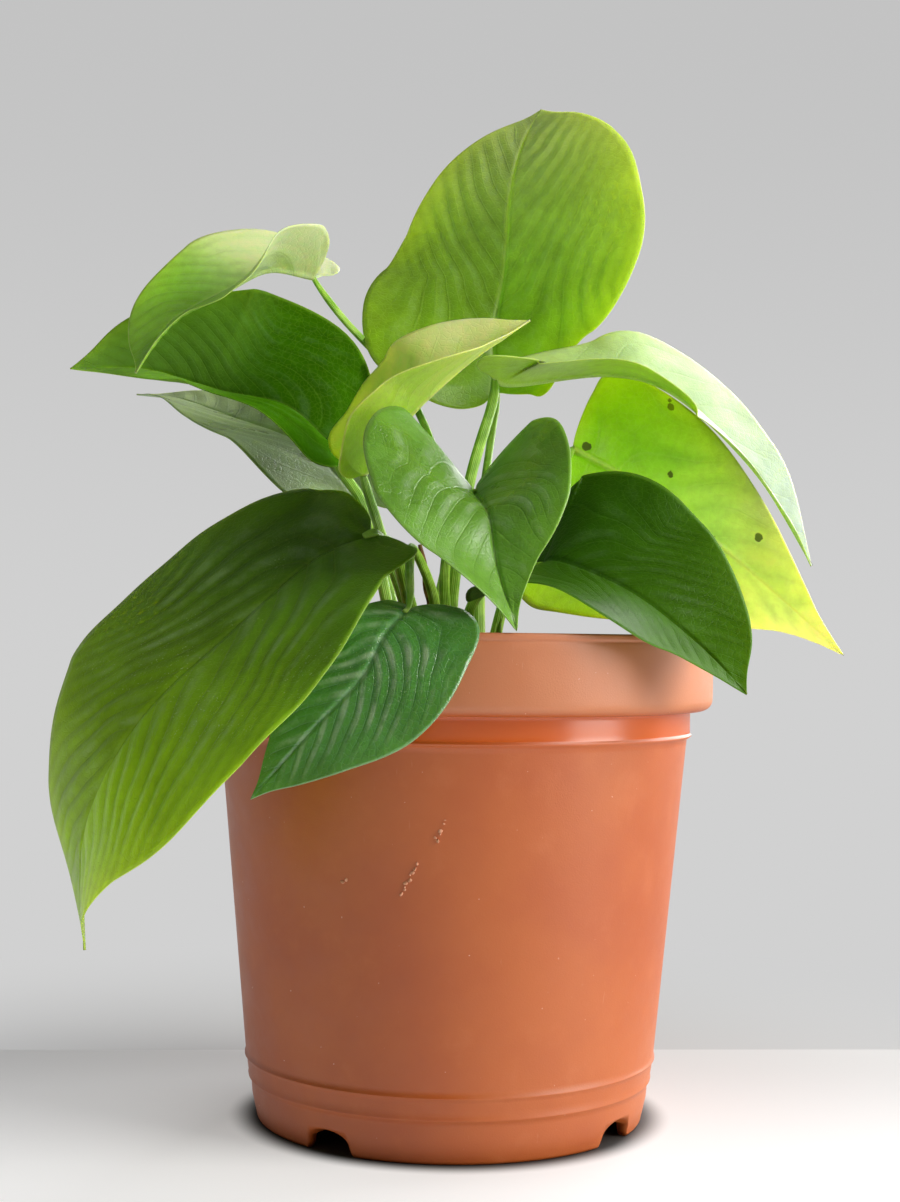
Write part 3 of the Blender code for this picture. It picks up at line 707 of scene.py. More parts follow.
def mix_material():
    """Damp peat and bark potting mix: dark brown crumbs, matt, with a little moisture on the raised ones."""
    made, shader = new_material("damp_peat_mix")
    where = add(made, "TexCoord", give="Object")
    crumb = add(made, "TexVoronoi", {"Vector": where, "Scale": 1 / (2.2 * MM)})
    shade = add(made, "SeparateColor", {0: crumb.node.outputs["Color"]})
    fine = add(made, "TexNoise", {"Vector": where, "Scale": 1 / (0.9 * MM), "Detail": 4, "Roughness": 0.7})
    colour = add(made, "Mix", {0: shade, 6: linear("#22150d"), 7: linear("#4c3423")}, 2, **COLOUR)
    colour = add(made, "Mix", {
        0: add(made, "MapRange", (fine, 0.45, 0.75), **SMOOTH),
        6: colour,
        7: linear("#6b4d34"),
    }, 2, **COLOUR)
    made.node_tree.links.new(colour, shader.inputs["Base Color"])
    made.node_tree.links.new(
        add(made, "MapRange", (fine, 0.3, 0.7, 0.62, 0.95), **SMOOTH),
        shader.inputs["Roughness"],
    )
    made.node_tree.links.new(
        add(made, "Bump", {
            "Height": add(made, "Math", (fine, crumb.node.outputs["Distance"]), **MINUS),
            "Distance": 0.6 * MM,
            "Strength": 1.0,
        }),
        shader.inputs["Normal"],
    )
    return made


def bark_material():
    """Composted bark chips: fibrous red-brown to grey-brown flakes."""
    made, shader = new_material("composted_bark")
    where = add(made, "TexCoord", give="Object")
    grain_place = add(made, "Mapping", {"Vector": where, "Scale": (1.0, 0.25, 1.0)})
    grain = add(made, "TexNoise", {
        "Vector": grain_place,
        "Scale": 1 / (0.8 * MM),
        "Detail": 4,
        "Roughness": 0.6,
    })
    tone = add(made, "TexNoise", {"Vector": where, "Scale": 1 / (7 * MM)})
    colour = add(made, "Mix", {
        0: add(made, "MapRange", (tone, 0.35, 0.65), **SMOOTH),
        6: linear("#3a2114"),
        7: linear("#7a5636"),
    }, 2, **COLOUR)
    colour = add(made, "Mix", {
        0: add(made, "MapRange", (grain, 0.5, 0.7, 0.0, 0.5), **SMOOTH),
        6: colour,
        7: linear("#1f130b"),
    }, 2, **COLOUR)
    made.node_tree.links.new(colour, shader.inputs["Base Color"])
    made.node_tree.links.new(
        add(made, "MapRange", (grain, 0.3, 0.7, 0.65, 0.92), **SMOOTH),
        shader.inputs["Roughness"],
    )
    made.node_tree.links.new(
        add(made, "Bump", {"Height": grain, "Distance": 0.2 * MM, "Strength": 1.0}),
        shader.inputs["Normal"],
    )
    return made


def perlite_material():
    """Expanded perlite: chalky white grains, pitted by fine bubbles and stained a little by the peat."""
    made, shader = new_material("expanded_perlite")
    where = add(made, "TexCoord", give="Object")
    stain = add(made, "TexNoise", {"Vector": where, "Scale": 1 / (1.6 * MM), "Detail": 3, "Roughness": 0.6})
    colour = add(made, "Mix", {
        0: add(made, "MapRange", (stain, 0.45, 0.75), **SMOOTH),
        6: linear("#e6e0d4"),
        7: linear("#a8957c"),
    }, 2, **COLOUR)
    made.node_tree.links.new(colour, shader.inputs["Base Color"])
    made.node_tree.links.new(
        add(made, "MapRange", (stain, 0.3, 0.7, 0.75, 0.95), **SMOOTH),
        shader.inputs["Roughness"],
    )
    pits = add(made, "TexVoronoi", {"Vector": where, "Scale": 1 / (0.5 * MM)}, "Distance")
    made.node_tree.links.new(
        add(made, "Bump", {"Height": pits, "Distance": 0.12 * MM, "Strength": 1.0}),
        shader.inputs["Normal"],
    )
    return made


def lime_material():
    """Limescale dried from watering: chalky, pale specks that stand a little proud of the pot."""
    made, shader = new_material("dried_limescale")
    tone = add(made, "TexNoise", {"Vector": add(made, "TexCoord", give="Object"), "Scale": 1 / (0.4 * MM)})
    colour = add(made, "Mix", {
        0: add(made, "MapRange", (tone, 0.3, 0.7), **SMOOTH),
        6: linear("#c07a54"),
        7: linear("#d8a080"),
    }, 2, **COLOUR)
    made.node_tree.links.new(colour, shader.inputs["Base Color"])
    made.node_tree.links.new(
        add(made, "MapRange", (tone, 0.3, 0.7, 0.5, 0.8), **SMOOTH),
        shader.inputs["Roughness"],
    )
    return made


# ---------------------------------------------------------------- curves
def smooth_route(points, shares):
    """Points on the smooth curve through given points, at shares 0 to 1 of its length."""
    points = np.asarray(points, float)
    padded = np.vstack([2 * points[0] - points[1], points, 2 * points[-1] - points[-2]])
    fine = []
    for i in range(1, len(padded) - 2):
        a, b, c, d = padded[i - 1 : i + 3]
        for t in np.linspace(0, 1, 24, endpoint=False):
            bend, twist = 2 * a - 5 * b + 4 * c - d, 3 * b - a - 3 * c + d
            fine.append(0.5 * (2 * b + (c - a) * t + bend * t * t + twist * t**3))
    fine.append(points[-1])
    fine = np.array(fine)
    reach = np.concatenate([[0], np.cumsum(np.linalg.norm(np.diff(fine, axis=0), axis=1))])
    wanted = np.asarray(shares, float) * reach[-1]
    return np.stack([np.interp(wanted, reach, fine[:, k]) for k in range(fine.shape[1])], axis=1)


def unit(vectors):
    """Vectors scaled to length 1."""
    return vectors / np.maximum(np.linalg.norm(vectors, axis=-1, keepdims=True), 1e-9)


def ripple(points, size, seed):
    """Smooth random waves between -1 and 1 with features of a size in millimetres."""
    draw = np.random.default_rng(seed)
    total = np.zeros(points.shape[:-1])
    for octave in range(7):
        direction = unit(draw.normal(size=3)) * (2 * math.pi / (size * (1.0 + 0.22 * octave)))
        total += np.sin(points @ direction + draw.uniform(0, 2 * math.pi))
    return total / 7 * 1.6


# ---------------------------------------------------------------- mesh pieces
def piece(name, vertices, faces, material, fields=None, smooth=True):
    """A mesh piece in the frame's metres from millimetre points, with its vertex fields for the material."""
    mesh = bpy.data.meshes.new(name)
    mesh.from_pydata((np.asarray(vertices) * MM).tolist(), [], faces)
    mesh.materials.append(material)
    for field, values in (fields or {}).items():
        stored = mesh.attributes.new(field, "FLOAT", "POINT").data
        stored.foreach_set("value", np.asarray(values, np.float32).ravel())
    mesh.update()
    made = bpy.data.objects.new(name, mesh)
    bpy.context.scene.collection.objects.link(made)
    mesh.polygons.foreach_set("use_smooth", [smooth] * len(mesh.polygons))
    return made


def weld(made, distance=0.004):
    """Join points that lie together, in millimetres, and turn the faces outwards."""
    work = bmesh.new()
    work.from_mesh(made.data)
    bmesh.ops.remove_doubles(work, verts=work.verts, dist=distance * MM)
    bmesh.ops.dissolve_degenerate(work, edges=work.edges, dist=distance * MM * 0.1)
    bmesh.ops.recalc_face_normals(work, faces=work.faces)
    work.to_mesh(made.data)
    work.free()
    return made


def stands_for(made, node):
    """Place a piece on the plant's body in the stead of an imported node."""
    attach(made, "root")
    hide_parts(node)
    return made


# ---------------------------------------------------------------- blades
class Midrib:
    """A blade's midrib as a curve, with the forward, right and upper directions along it."""

    STATIONS = 200

    def __init__(self, design):
        shares = np.linspace(0, 1, self.STATIONS)
        self.points = smooth_route(design["midrib"], shares)
        self.length = np.linalg.norm(np.diff(self.points, axis=0), axis=1).sum()
        self.distance = shares * self.length
        self.forward = unit(np.gradient(self.points, axis=0))
        self.right = unit(np.cross(self.forward, unit(smooth_route(design["face"], shares))))
        self.upper = np.cross(self.right, self.forward)

    def at(self, along):
        """Points, forward, right and upper at distances along the midrib, straight beyond its ends."""
        picked = [
            np.stack([np.interp(along, self.distance, field[:, k]) for k in range(3)], axis=-1)
            for field in (self.points, self.forward, self.right, self.upper)
        ]
        over = np.minimum(along, 0.0) + np.maximum(along - self.length, 0.0)
        picked[0] = picked[0] + unit(picked[1]) * over[..., None]
        return picked


def half_outline(design, side):
    """The blade's own half outline: its lobe, widest place, fullness and the narrowing of its heel."""
    lobe, peak, full, heel = (design[key][side] for key in ("lobe", "peak", "full", "heel"))
    outline = []
    for along, out in HALF_OUTLINE:
        along = along * lobe if along < 0 else along ** (1 / peak)
        grown = min(max(along, 0.0) / HEEL_END, 1.0)
        outline.append((along, out**full * (heel + (1 - heel) * grown)))
    return outline


def blade_middle(design, rows, columns):
    """The blade's middle surface, and each point's row share, distance out, share out and distance along."""
    midrib = Midrib(design)
    shares = np.linspace(0, 1, rows)
    root = midrib.length * np.maximum(shares - 0.04, shares * 0.1) ** SWEEP
    root[-1] = midrib.length
    ease = np.linspace(0, 1, columns + 1)
    halves = []
    for side in (0, 1):
        edge = smooth_route(half_outline(design, side), shares)
        spread = ease**SPREAD
        along = root[:, None] + (edge[:, :1] * midrib.length - root[:, None]) * spread**SWEEP
        out = edge[:, 1:] * design["width"][side] * spread
        origin, _, right, upper = midrib.at(along)
        share = np.clip(along / midrib.length, 0, 1)
        rise = np.radians(np.interp(share, (0.0, 0.5, 1.0), design["fold"][side]))
        slope = rise + math.radians(design["cup"][side]) * out / design["width"][side] / 2
        hand = 1 if side else -1
        points = origin + right * (out * np.cos(slope) * hand)[..., None]
        points = points + upper * (out * np.sin(slope))[..., None]
        rows_share = np.broadcast_to(shares[:, None], out.shape)
        halves.append((points, rows_share, out, np.broadcast_to(spread, out.shape), along))
    left, right = halves
    return [np.concatenate([a[:, :0:-1], b], axis=1) for a, b in zip(left, right)], midrib


def blade_normals(points, midrib, along):
    """Unit normals of the middle surface, on its upper side."""
    down = np.gradient(points, axis=0)
    over = np.gradient(points, axis=1)
    normals = np.cross(over, down)
    upper = midrib.at(np.clip(along, 0, midrib.length))[3]
    size = np.linalg.norm(normals, axis=-1)
    normals = np.where((size > 1e-6)[..., None], unit(normals), unit(upper))
    facing = np.sum(normals * upper, axis=-1)
    return normals * np.where(facing < 0, -1.0, 1.0)[..., None]


def blade_sheets(number):
    """Upper and lower sheet of one blade with its veins, puckers and waved margin."""
    look = LOOKS[number]
    (points, share, out, spread, along), midrib = blade_middle(BLADES[number], BLADE_ROWS, BLADE_COLUMNS)
    normals = blade_normals(points, midrib, along)
    progress = np.clip(along / midrib.length, 0, 1)
    # Side veins leave the midrib forwards and bend further towards the tip as they near the margin.
    lean = look.get("lean", VEIN_LEAN) * np.clip(progress * 3.0, 0, 1)
    phase = (along - lean * out * (1 + 0.45 * spread)) / midrib.length * look["veins"]
    phase += 0.5 * ripple(points, 26, number + 80) + 0.12 * ripple(points, 9, number + 160)
    # Between two side veins the blade is raised; on each vein it is drawn down.
    swell = -0.5 * np.cos(2 * math.pi * phase)
    belly = np.clip(spread * 4, 0, 1) * np.clip((1 - spread) * 3.2, 0, 1) * np.clip((1 - share) * 6, 0, 1)
    height = look["quilt"] * swell * belly * (0.7 + 0.8 * ripple(points, 19, number + 120))
    height += 0.45 * ripple(points, 17, number) * np.clip(spread * 2, 0, 1)
    height += 0.5 * ripple(points, 26, number + 40) * spread**3 * np.clip((1 - share) * 8, 0, 1)
    rib_width = MIDRIB_WIDTH * (1 - 0.7 * progress)
    groove = np.exp(-((out / (rib_width * 0.8)) ** 2)) * np.clip((1 - share) * 12, 0, 1)
    half = (BLADE_THICKNESS + (MARGIN_THICKNESS - BLADE_THICKNESS) * spread**2) / 2
    vein_rib = np.exp(-((np.abs((phase + 0.5) % 1 - 0.5) / 0.09) ** 2)) * belly
    top = points + normals * (height + half - 0.5 * groove - 0.05 * vein_rib)[..., None]
    bottom = points + normals * (height - half - rib_width * 0.75 * groove - 0.13 * vein_rib)[..., None]
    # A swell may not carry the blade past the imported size.
    low, high = (np.array(corner) / MM for corner in CAD_BOX)
    both = np.stack((top, bottom)).reshape(-1, 3)
    shift = np.maximum(low - both.min(axis=0), 0) - np.maximum(both.max(axis=0) - high, 0)
    top, bottom = top + shift, bottom + shift
    hands = np.where(np.arange(out.shape[1]) < out.shape[1] // 2, -1.0, 1.0)
    fields = {"along": progress, "edge": spread, "rib": phase, "side": out * hands}
    return top, bottom, fields


def make_blade(number):
    """A closed blade with an upper and a lower sheet joined round the margin."""
    top, bottom, fields = blade_sheets(number)
    rows, columns = top.shape[:2]
    count = rows * columns
    grid = np.arange(count).reshape(rows, columns)
    a, b, c, d = grid[:-1, :-1], grid[:-1, 1:], grid[1:, 1:], grid[1:, :-1]
    upper = np.stack([a, b, c, d], axis=-1).reshape(-1, 4)
    faces = upper.tolist() + (upper[:, ::-1] + count).tolist()
    ring = np.concatenate([grid[0, :-1], grid[:-1, -1], grid[-1, :0:-1], grid[:0:-1, 0]])
    after = np.roll(ring, -1)
    faces += np.stack([after, ring, ring + count, after + count], axis=-1).tolist()
    vertices = np.concatenate([top.reshape(-1, 3), bottom.reshape(-1, 3)])
    doubled = {name: np.tile(values.ravel(), 2) for name, values in fields.items()}
    doubled["underside"] = np.repeat((0.0, 1.0), count)
    look = LOOKS[number]
    made = piece(f"blade_{number:02d}", vertices, faces, blade_material(number, look), doubled)
    weld(made)
    return stands_for(made, f"leaf_{number:02d}")


# ---------------------------------------------------------------- stems
def tube_rings(route, radii, rings, sides, shape=None):
    """Rings of points round a route. shape(share, angles) scales the radius."""
    shares = np.linspace(0, 1, rings)
    centre = smooth_route(route, shares)
    forward = unit(np.gradient(centre, axis=0))
    side = unit(np.cross(forward, (0.13, -0.9, 0.35)))
    up = np.cross(side, forward)
    angles = np.linspace(0, 2 * math.pi, sides, endpoint=False)
    radius = np.interp(shares, np.linspace(0, 1, len(radii)), radii)[:, None] * np.ones(sides)
    if shape:
        radius = radius * shape(shares[:, None], angles[None, :])
    ring = side[:, None] * np.cos(angles)[None, :, None] + up[:, None] * np.sin(angles)[None, :, None]
    return centre[:, None] + ring * radius[..., None], shares


def make_tube(name, route, radii, material, rings=70, sides=20, shape=None, extra=None):
    """A closed stem of rings, with its fields for the material."""
    points, shares = tube_rings(route, radii, rings, sides, shape)
    grid = np.arange(rings * sides).reshape(rings, sides)
    beside = np.roll(grid, -1, axis=1)
    quads = np.stack([grid[:-1], beside[:-1], beside[1:], grid[1:]], axis=-1).reshape(-1, 4)
    faces = quads.tolist() + [grid[0, ::-1].tolist(), grid[-1].tolist()]
    fields = {
        "along": np.repeat(shares, sides),
        "round": np.tile(np.abs(np.linspace(-1, 1, sides, endpoint=False)), rings),
    }
    if extra:
        fields.update({key: np.repeat(value(shares), sides) for key, value in extra.items()})
    made = piece(name, points.reshape(-1, 3), faces, material, fields)
    return weld(made, 0.001)


def channelled(share, angle):
    """A stalk's section: a channel on its upper side, wings at its foot and a knee below its blade."""
    channel = 1 - 0.22 * np.exp(-(((angle - math.pi / 2) / 0.5) ** 2))
    wings = 1 + 0.45 * np.exp(-((share / 0.16) ** 2)) * np.abs(np.cos(angle)) ** 2
    knee = 1 + 0.22 * np.exp(-(((share - 0.91) / 0.05) ** 2))
    return channel * wings * knee


def nearest_vine(point):
    """The point on a vine's line a little below and closest to a stalk's foot."""
    best = None
    for route in VINES.values():
        line = smooth_route(route, np.linspace(0, 1, 60))
        gap = np.linalg.norm(line - (np.asarray(point) - (0, 0, 4.0)), axis=1)
        if best is None or gap.min() < best[0]:
            best = (gap.min(), line[gap.argmin()])
    return best[1]


def make_stalk(number, material):
    """One leaf stalk, from inside its vine's joint to the heel of its blade."""
    low, high, route = STALKS[number]
    heel = np.asarray(BLADES[number]["midrib"][:2], float)
    forward = unit(heel[1] - heel[0])
    into_blade = [tuple(heel[0] - forward * 0.2), tuple(heel[0] + forward * 2.2)]
    joined = [tuple(nearest_vine(route[0]))] + list(route) + into_blade
    radii = (low * 1.1, low, (low + high) / 2, high, high, high * 0.55)
    made = make_tube(f"petiole_{number:02d}", joined, radii, material, shape=channelled)
    return stands_for(made, f"stalk_{number:02d}")


def make_vine(name, route, material):
    """A short vine with swollen, scarred joints."""
    joints = (0.62, 0.76, 0.90)

    def swell(share, angle):
        size = 1.0 + 0 * angle
        for joint in joints:
            size = size + 0.16 * np.exp(-(((share - joint) / 0.018) ** 2))
        return size * (1 - 0.25 * np.clip((share - 0.95) / 0.05, 0, 1))

    def scar(shares):
        return sum(np.exp(-(((shares - joint) / 0.02) ** 2)) for joint in joints)

    radii = (VINE_RADIUS, VINE_RADIUS * 0.9)
    made = make_tube(name + "_stem", route, radii, material, 90, 22, swell, {"scar": scar})
    return stands_for(made, name)


def make_sheath(material):
    """A dried sheath that has curled to a ragged, half-open strip."""
    low, high, route = SPRIGS["dried_sheath"]

    def curl(share, angle):
        ragged = 1 + 0.18 * np.sin(9 * share + 3 * angle) + 0.12 * np.sin(31 * share + 5 * angle)
        hollow = 1 - 0.55 * np.exp(-(((angle - 4.2) / 0.8) ** 2))
        return ragged * hollow

    made = make_tube("curled_sheath", route, (low, low * 1.15, high), material, 60, 28, curl)
    return stands_for(made, "dried_sheath")


def make_shoot(material):
    """A young rolled leaf that has not opened: a tapering spear with one overlapping edge."""
    low, high, route = SPRIGS["young_shoot"]

    def rolled(share, angle):
        lap = 1 + 0.16 * np.clip(angle / (2 * math.pi), 0, 1)
        return lap * (1 - 0.85 * np.clip((share - 0.55) / 0.45, 0, 1) ** 1.5)

    made = make_tube("rolled_shoot", route, (low, low * 1.1, high), material, 60, 28, rolled)
    return stands_for(made, "young_shoot")


# ---------------------------------------------------------------- pot
def body_radius(height):
    """Outer radius of the pot's tapered body."""
    share = (height - BODY_FOOT) / (NECK_BOTTOM - BODY_FOOT)
    return BODY_FOOT_RADIUS + (BODY_TOP_RADIUS - BODY_FOOT_RADIUS) * share


def arc(centre, radius, start, end, steps=6):
    """Points of a rounded edge, in degrees from outwards towards up."""
    angles = np.radians(np.linspace(start, end, steps))
    return [(centre[0] + radius * math.cos(a), centre[1] + radius * math.sin(a)) for a in angles]


def pot_profile():
    """The pot's section as (radius, height, polish): inner floor, inner wall, rim, outside and underside."""
    skirt = POT_HEIGHT - RIM_SKIRT
    shoulder = skirt + 1.2
    inner = RIM_RADIUS - WALL
    inside = [(0, FLOOR_TOP + 0.6)]
    inside += [(r, FLOOR_TOP + 0.6 * (1 - r / 44)) for r in (12, 24, 34, 42)]
    inside += [(body_radius(FLOOR_TOP) - WALL - 2.0, FLOOR_TOP)]
    inside += [(body_radius(FLOOR_TOP + 2) - WALL - 0.4, FLOOR_TOP + 0.7)]
    inside += [(body_radius(z) - WALL, z) for z in np.linspace(FLOOR_TOP + 3, NECK_BOTTOM, 9)]
    inside += [(NECK_RADIUS - WALL, shoulder - 0.6), (NECK_RADIUS - WALL + 0.4, shoulder)]
    inside += [(inner - 1.9, shoulder + 0.45), (inner - 0.5, shoulder + 1.1), (inner, shoulder + 2.4)]
    inside += [(inner + 0.05, z) for z in np.linspace(shoulder + 5, POT_HEIGHT - 3, 4)]
    rim = arc((inner + 0.55, POT_HEIGHT - 0.5), 0.5, 180, 90)
    rim += arc((RIM_RADIUS - 0.5, POT_HEIGHT - 0.5), 0.5, 90, 0)
    # A bead runs round the rim, with a fine groove under it.
    rim += [(RIM_RADIUS, POT_HEIGHT - 1.15), (RIM_RADIUS - 0.1, POT_HEIGHT - 1.4)]
    rim += [(RIM_RADIUS - 0.42, POT_HEIGHT - 1.65), (RIM_RADIUS - 0.32, POT_HEIGHT - 1.95)]
    rim += [(RIM_RADIUS - 0.25, POT_HEIGHT - 2.3)]
    rim += [(RIM_RADIUS - 0.22, z) for z in np.linspace(POT_HEIGHT - 4, skirt + 3.6, 5)]
    rim += arc((RIM_RADIUS - 2.9, skirt + 2.7), 2.65, 0, -90, 9)
    rim += [(NECK_RADIUS + 1.1, skirt + 0.05), (NECK_RADIUS + 0.25, skirt + 0.25)]
    neck = [(NECK_RADIUS, skirt - 0.2)]
    neck += [(NECK_RADIUS, z) for z in np.linspace(skirt - 0.9, NECK_BOTTOM + 0.9, 5)]
    ledge = [(NECK_RADIUS + 0.04, NECK_BOTTOM + 0.55), (NECK_RADIUS + 0.3, NECK_BOTTOM + 0.3)]
    ledge += [(NECK_RADIUS + 0.3, NECK_BOTTOM + 0.05), (NECK_RADIUS - 0.05, NECK_BOTTOM - 0.3)]
    ledge += [(body_radius(NECK_BOTTOM - 0.7) + 0.05, NECK_BOTTOM - 0.7)]
    body = [(body_radius(z), z) for z in np.linspace(NECK_BOTTOM - 2, 17, 12)]
    # Two parting lines and a small step lie above the foot.
    foot = [(body_radius(15.7), 15.7), (body_radius(15.4) + 0.3, 15.4), (body_radius(15.1) + 0.36, 15.15)]
    foot += [(body_radius(14.8) - 0.02, 14.8), (body_radius(14) - 0.1, 14.0)]
    foot += [(body_radius(12.4) - 0.2, 12.4)]
    foot += [(body_radius(10.7) - 0.3, 10.75), (body_radius(10.4) - 0.12, 10.4)]
    foot += [(body_radius(10.1) - 0.15, 10.1)]
    foot += [(body_radius(9.7) - 0.6, 9.7), (body_radius(8.5) - 0.75, 8.5), (FOOT_RADIUS + 1.6, 6.0)]
    foot += [(FOOT_RADIUS + 0.9, 2.8), (FOOT_RADIUS + 0.55, 1.4)]
    foot += arc((FOOT_RADIUS - 0.45, 0.9), 0.9, 0, -90)
    under = [(FOOT_RADIUS - 1.6, 0), (FOOT_RADIUS - 2.0, 0.3), (FOOT_RADIUS - 2.0, FLOOR_UNDER - 0.3)]
    under += [(FOOT_RADIUS - 2.4, FLOOR_UNDER), (30, FLOOR_UNDER + 0.2)]
    under += [(15, FLOOR_UNDER + 0.4), (0, FLOOR_UNDER + 0.6)]
    parts = [(inside, 0.0, 1.0), (rim, 0.0, 0.0), (neck, 1.0, 0.0), (ledge, 0.3, 0.0), (body, 0.0, 0.0)]
    parts += [(foot, 0.0, 0.0), (under, 0.0, 1.0)]
    return [(r, z, polish, hidden) for line, polish, hidden in parts for r, z in line]


def turned(name, profile, steps, material):
    """A closed body turned about Z from (radius, height, polish, inside) points."""
    angles = np.linspace(0, 2 * math.pi, steps, endpoint=False)
    table = np.array(profile, float)
    rows = len(table)
    x = table[:, 0][:, None] * np.cos(angles)
    y = table[:, 0][:, None] * np.sin(angles)
    z = np.repeat(table[:, 1][:, None], steps, axis=1)
    grid = np.arange(rows * steps).reshape(rows, steps)
    beside = np.roll(grid, -1, axis=1)
    quads = np.stack([grid[:-1], grid[1:], beside[1:], beside[:-1]], axis=-1).reshape(-1, 4)
    fields = {"polish": np.repeat(table[:, 2], steps), "inside": np.repeat(table[:, 3], steps)}
    made = piece(name, np.stack([x, y, z], axis=-1).reshape(-1, 3), quads.tolist(), material, fields)
    return weld(made, 0.002)


def notch_cutter(angle):
    """An arched cutter that opens one drain notch through the foot ring and the floor's edge."""
    half, spring = NOTCH_WIDTH / 2, NOTCH_HEIGHT * 0.45
    rise = NOTCH_HEIGHT - spring
    arch = [(half * math.cos(a), spring + rise * math.sin(a)) for a in np.linspace(0, math.pi, 25)]
    flare = [(half + 1.3, -2.0), (half + 0.9, 0.0), (half + 0.25, 1.2)]
    outline = flare + arch + [(-y, z) for y, z in flare[::-1]]
    count = len(outline)
    over, back = math.cos(math.radians(angle)), math.sin(math.radians(angle))
    points = []
    for reach in (38.0, 56.0):
        points += [(reach * over - y * back, reach * back + y * over, z) for y, z in outline]
    faces = [list(range(count)), list(range(2 * count - 1, count - 1, -1))]
    faces += [(i, i + count, (i + 1) % count + count, (i + 1) % count) for i in range(count)]
    made = piece("notch", points, faces, None)
    return weld(made)


def make_pot():
    """The moulded pot with its four drain notches."""
    pot = turned("nursery_pot", pot_profile(), POT_STEPS, pot_material())
    bpy.context.view_layer.objects.active = pot
    for angle in NOTCH_ANGLES:
        cutter = notch_cutter(angle)
        change = pot.modifiers.new("notch", "BOOLEAN")
        change.operation = "DIFFERENCE"
        change.solver = "EXACT"
        change.object = cutter
        solid = bpy.data.meshes.new_from_object(pot.evaluated_get(bpy.context.evaluated_depsgraph_get()))
        pot.modifiers.clear()
        pot.data = solid
        bpy.data.objects.remove(cutter)
    pot.data.name = pot.name
    return stands_for(pot, "pot")


def lump(centre, radii, seed, rings=7, sides=9, rough=0.25):
    """Points and faces of one rough grain."""
    draw = np.random.default_rng(seed)
    turn = np.array(Matrix.Rotation(draw.uniform(0, math.pi), 3, Vector(draw.normal(size=3))))
    points = [(0, 0, 1)]
    for i in range(1, rings):
        a = math.pi * i / rings
        for b in np.linspace(0, 2 * math.pi, sides, endpoint=False):
            points.append((math.sin(a) * math.cos(b), math.sin(a) * math.sin(b), math.cos(a)))
    points.append((0, 0, -1))
    points = np.array(points)
    points = points * (1 + rough * ripple(points, 1.6, seed))[:, None] * np.asarray(radii)
    points = points @ turn.T + np.asarray(centre)
    faces = [(0, 1 + j, 1 + (j + 1) % sides) for j in range(sides)]
    for i in range(rings - 2):
        low, high = 1 + i * sides, 1 + (i + 1) * sides
        faces += [(low + j, high + j, high + (j + 1) % sides, low + (j + 1) % sides) for j in range(sides)]
    last, end = 1 + (rings - 2) * sides, len(points) - 1
    faces += [(last + (j + 1) % sides, last + j, end) for j in range(sides)]
    return points, faces


def scatter(name, count, low, high, flatness, seed, material, top):
    """Many grains on the mix, clear of the vines, as one piece."""
    draw = np.random.default_rng(seed)
    stems = [route[-1] for route in VINES.values()]
    widest = RIM_RADIUS - WALL - GRAIN_TO_WALL
    vertices, faces = [], []
    while count:
        angle, reach = draw.uniform(0, 2 * math.pi), widest * math.sqrt(draw.uniform())
        x, y = reach * math.cos(angle), reach * math.sin(angle)
        size = low + (high - low) * draw.uniform() ** 2
        if min(math.dist((x, y), stem[:2]) for stem in stems) < GRAIN_TO_VINE + size:
            continue
        radii = size * np.array((1.0, draw.uniform(0.5, 0.9), draw.uniform(*flatness)))
        height = top(np.array([[x, y, MIX_TOP]]))[0] + radii[2] * 0.35
        grain, sides = lump((x, y, height), radii, seed + count)
        faces += [[i + len(vertices) for i in face] for face in sides]
        vertices += grain.tolist()
        count -= 1
    return weld(piece(name, vertices, faces, material), 0.001)


def mix_height(points):
    """Height of the mix's rough top."""
    reach = np.linalg.norm(points[..., :2], axis=-1)
    crown = 0.8 * (1 - (reach / RIM_RADIUS) ** 2)
    height = MIX_TOP - 0.9 + crown
    for depth, size, seed in ((0.55, 5.5, 3), (0.35, 2.4, 9), (0.4, 15, 5)):
        height = height + depth * ripple(points, size, seed)
    return height


def make_mix():
    """The block of potting mix with its crumbled top, and the bark and perlite that lie on it."""
    reach = RIM_RADIUS - WALL - 0.35
    skirt = POT_HEIGHT - RIM_SKIRT
    top = [(r, MIX_TOP, 0.0, 0.0) for r in np.linspace(0, reach, 64)]
    side = [(reach, skirt + 4.5), (reach - 1.7, skirt + 2.2), (NECK_RADIUS - WALL - 0.5, skirt + 1.6)]
    side += [(body_radius(z) - WALL - 0.4, z) for z in (NECK_BOTTOM, 70, 45, 20, FLOOR_TOP + 3.4)]
    side += [(body_radius(6) - WALL - 2.7, FLOOR_TOP + 1.1), (0, FLOOR_TOP + 1.1)]
    mix = turned("peat_mix", top + [(r, z, 0.0, 1.0) for r, z in side], 200, mix_material())
    places = np.array([v.co for v in mix.data.vertices]) / MM
    crown = places[:, 2] > MIX_TOP - 0.5
    places[crown, 2] = mix_height(places[crown])
    mix.data.vertices.foreach_set("co", (places * MM).astype(np.float32).ravel())
    mix.data.update()
    stands_for(mix, "potting_mix")
    for name, count, low, high, flat, seed, material in (
        ("peat_crumbs", 420, 0.7, 2.4, (0.5, 0.9), 100, mix.data.materials[0]),
        ("bark_chips", 90, 1.4, 4.2, (0.22, 0.4), 900, bark_material()),
        ("perlite_grains", 70, 0.6, 1.7, (0.6, 0.95), 1700, perlite_material()),
    ):
        grains = scatter(name, count, low, high, flat, seed, material, mix_height)
        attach(grains, "root")


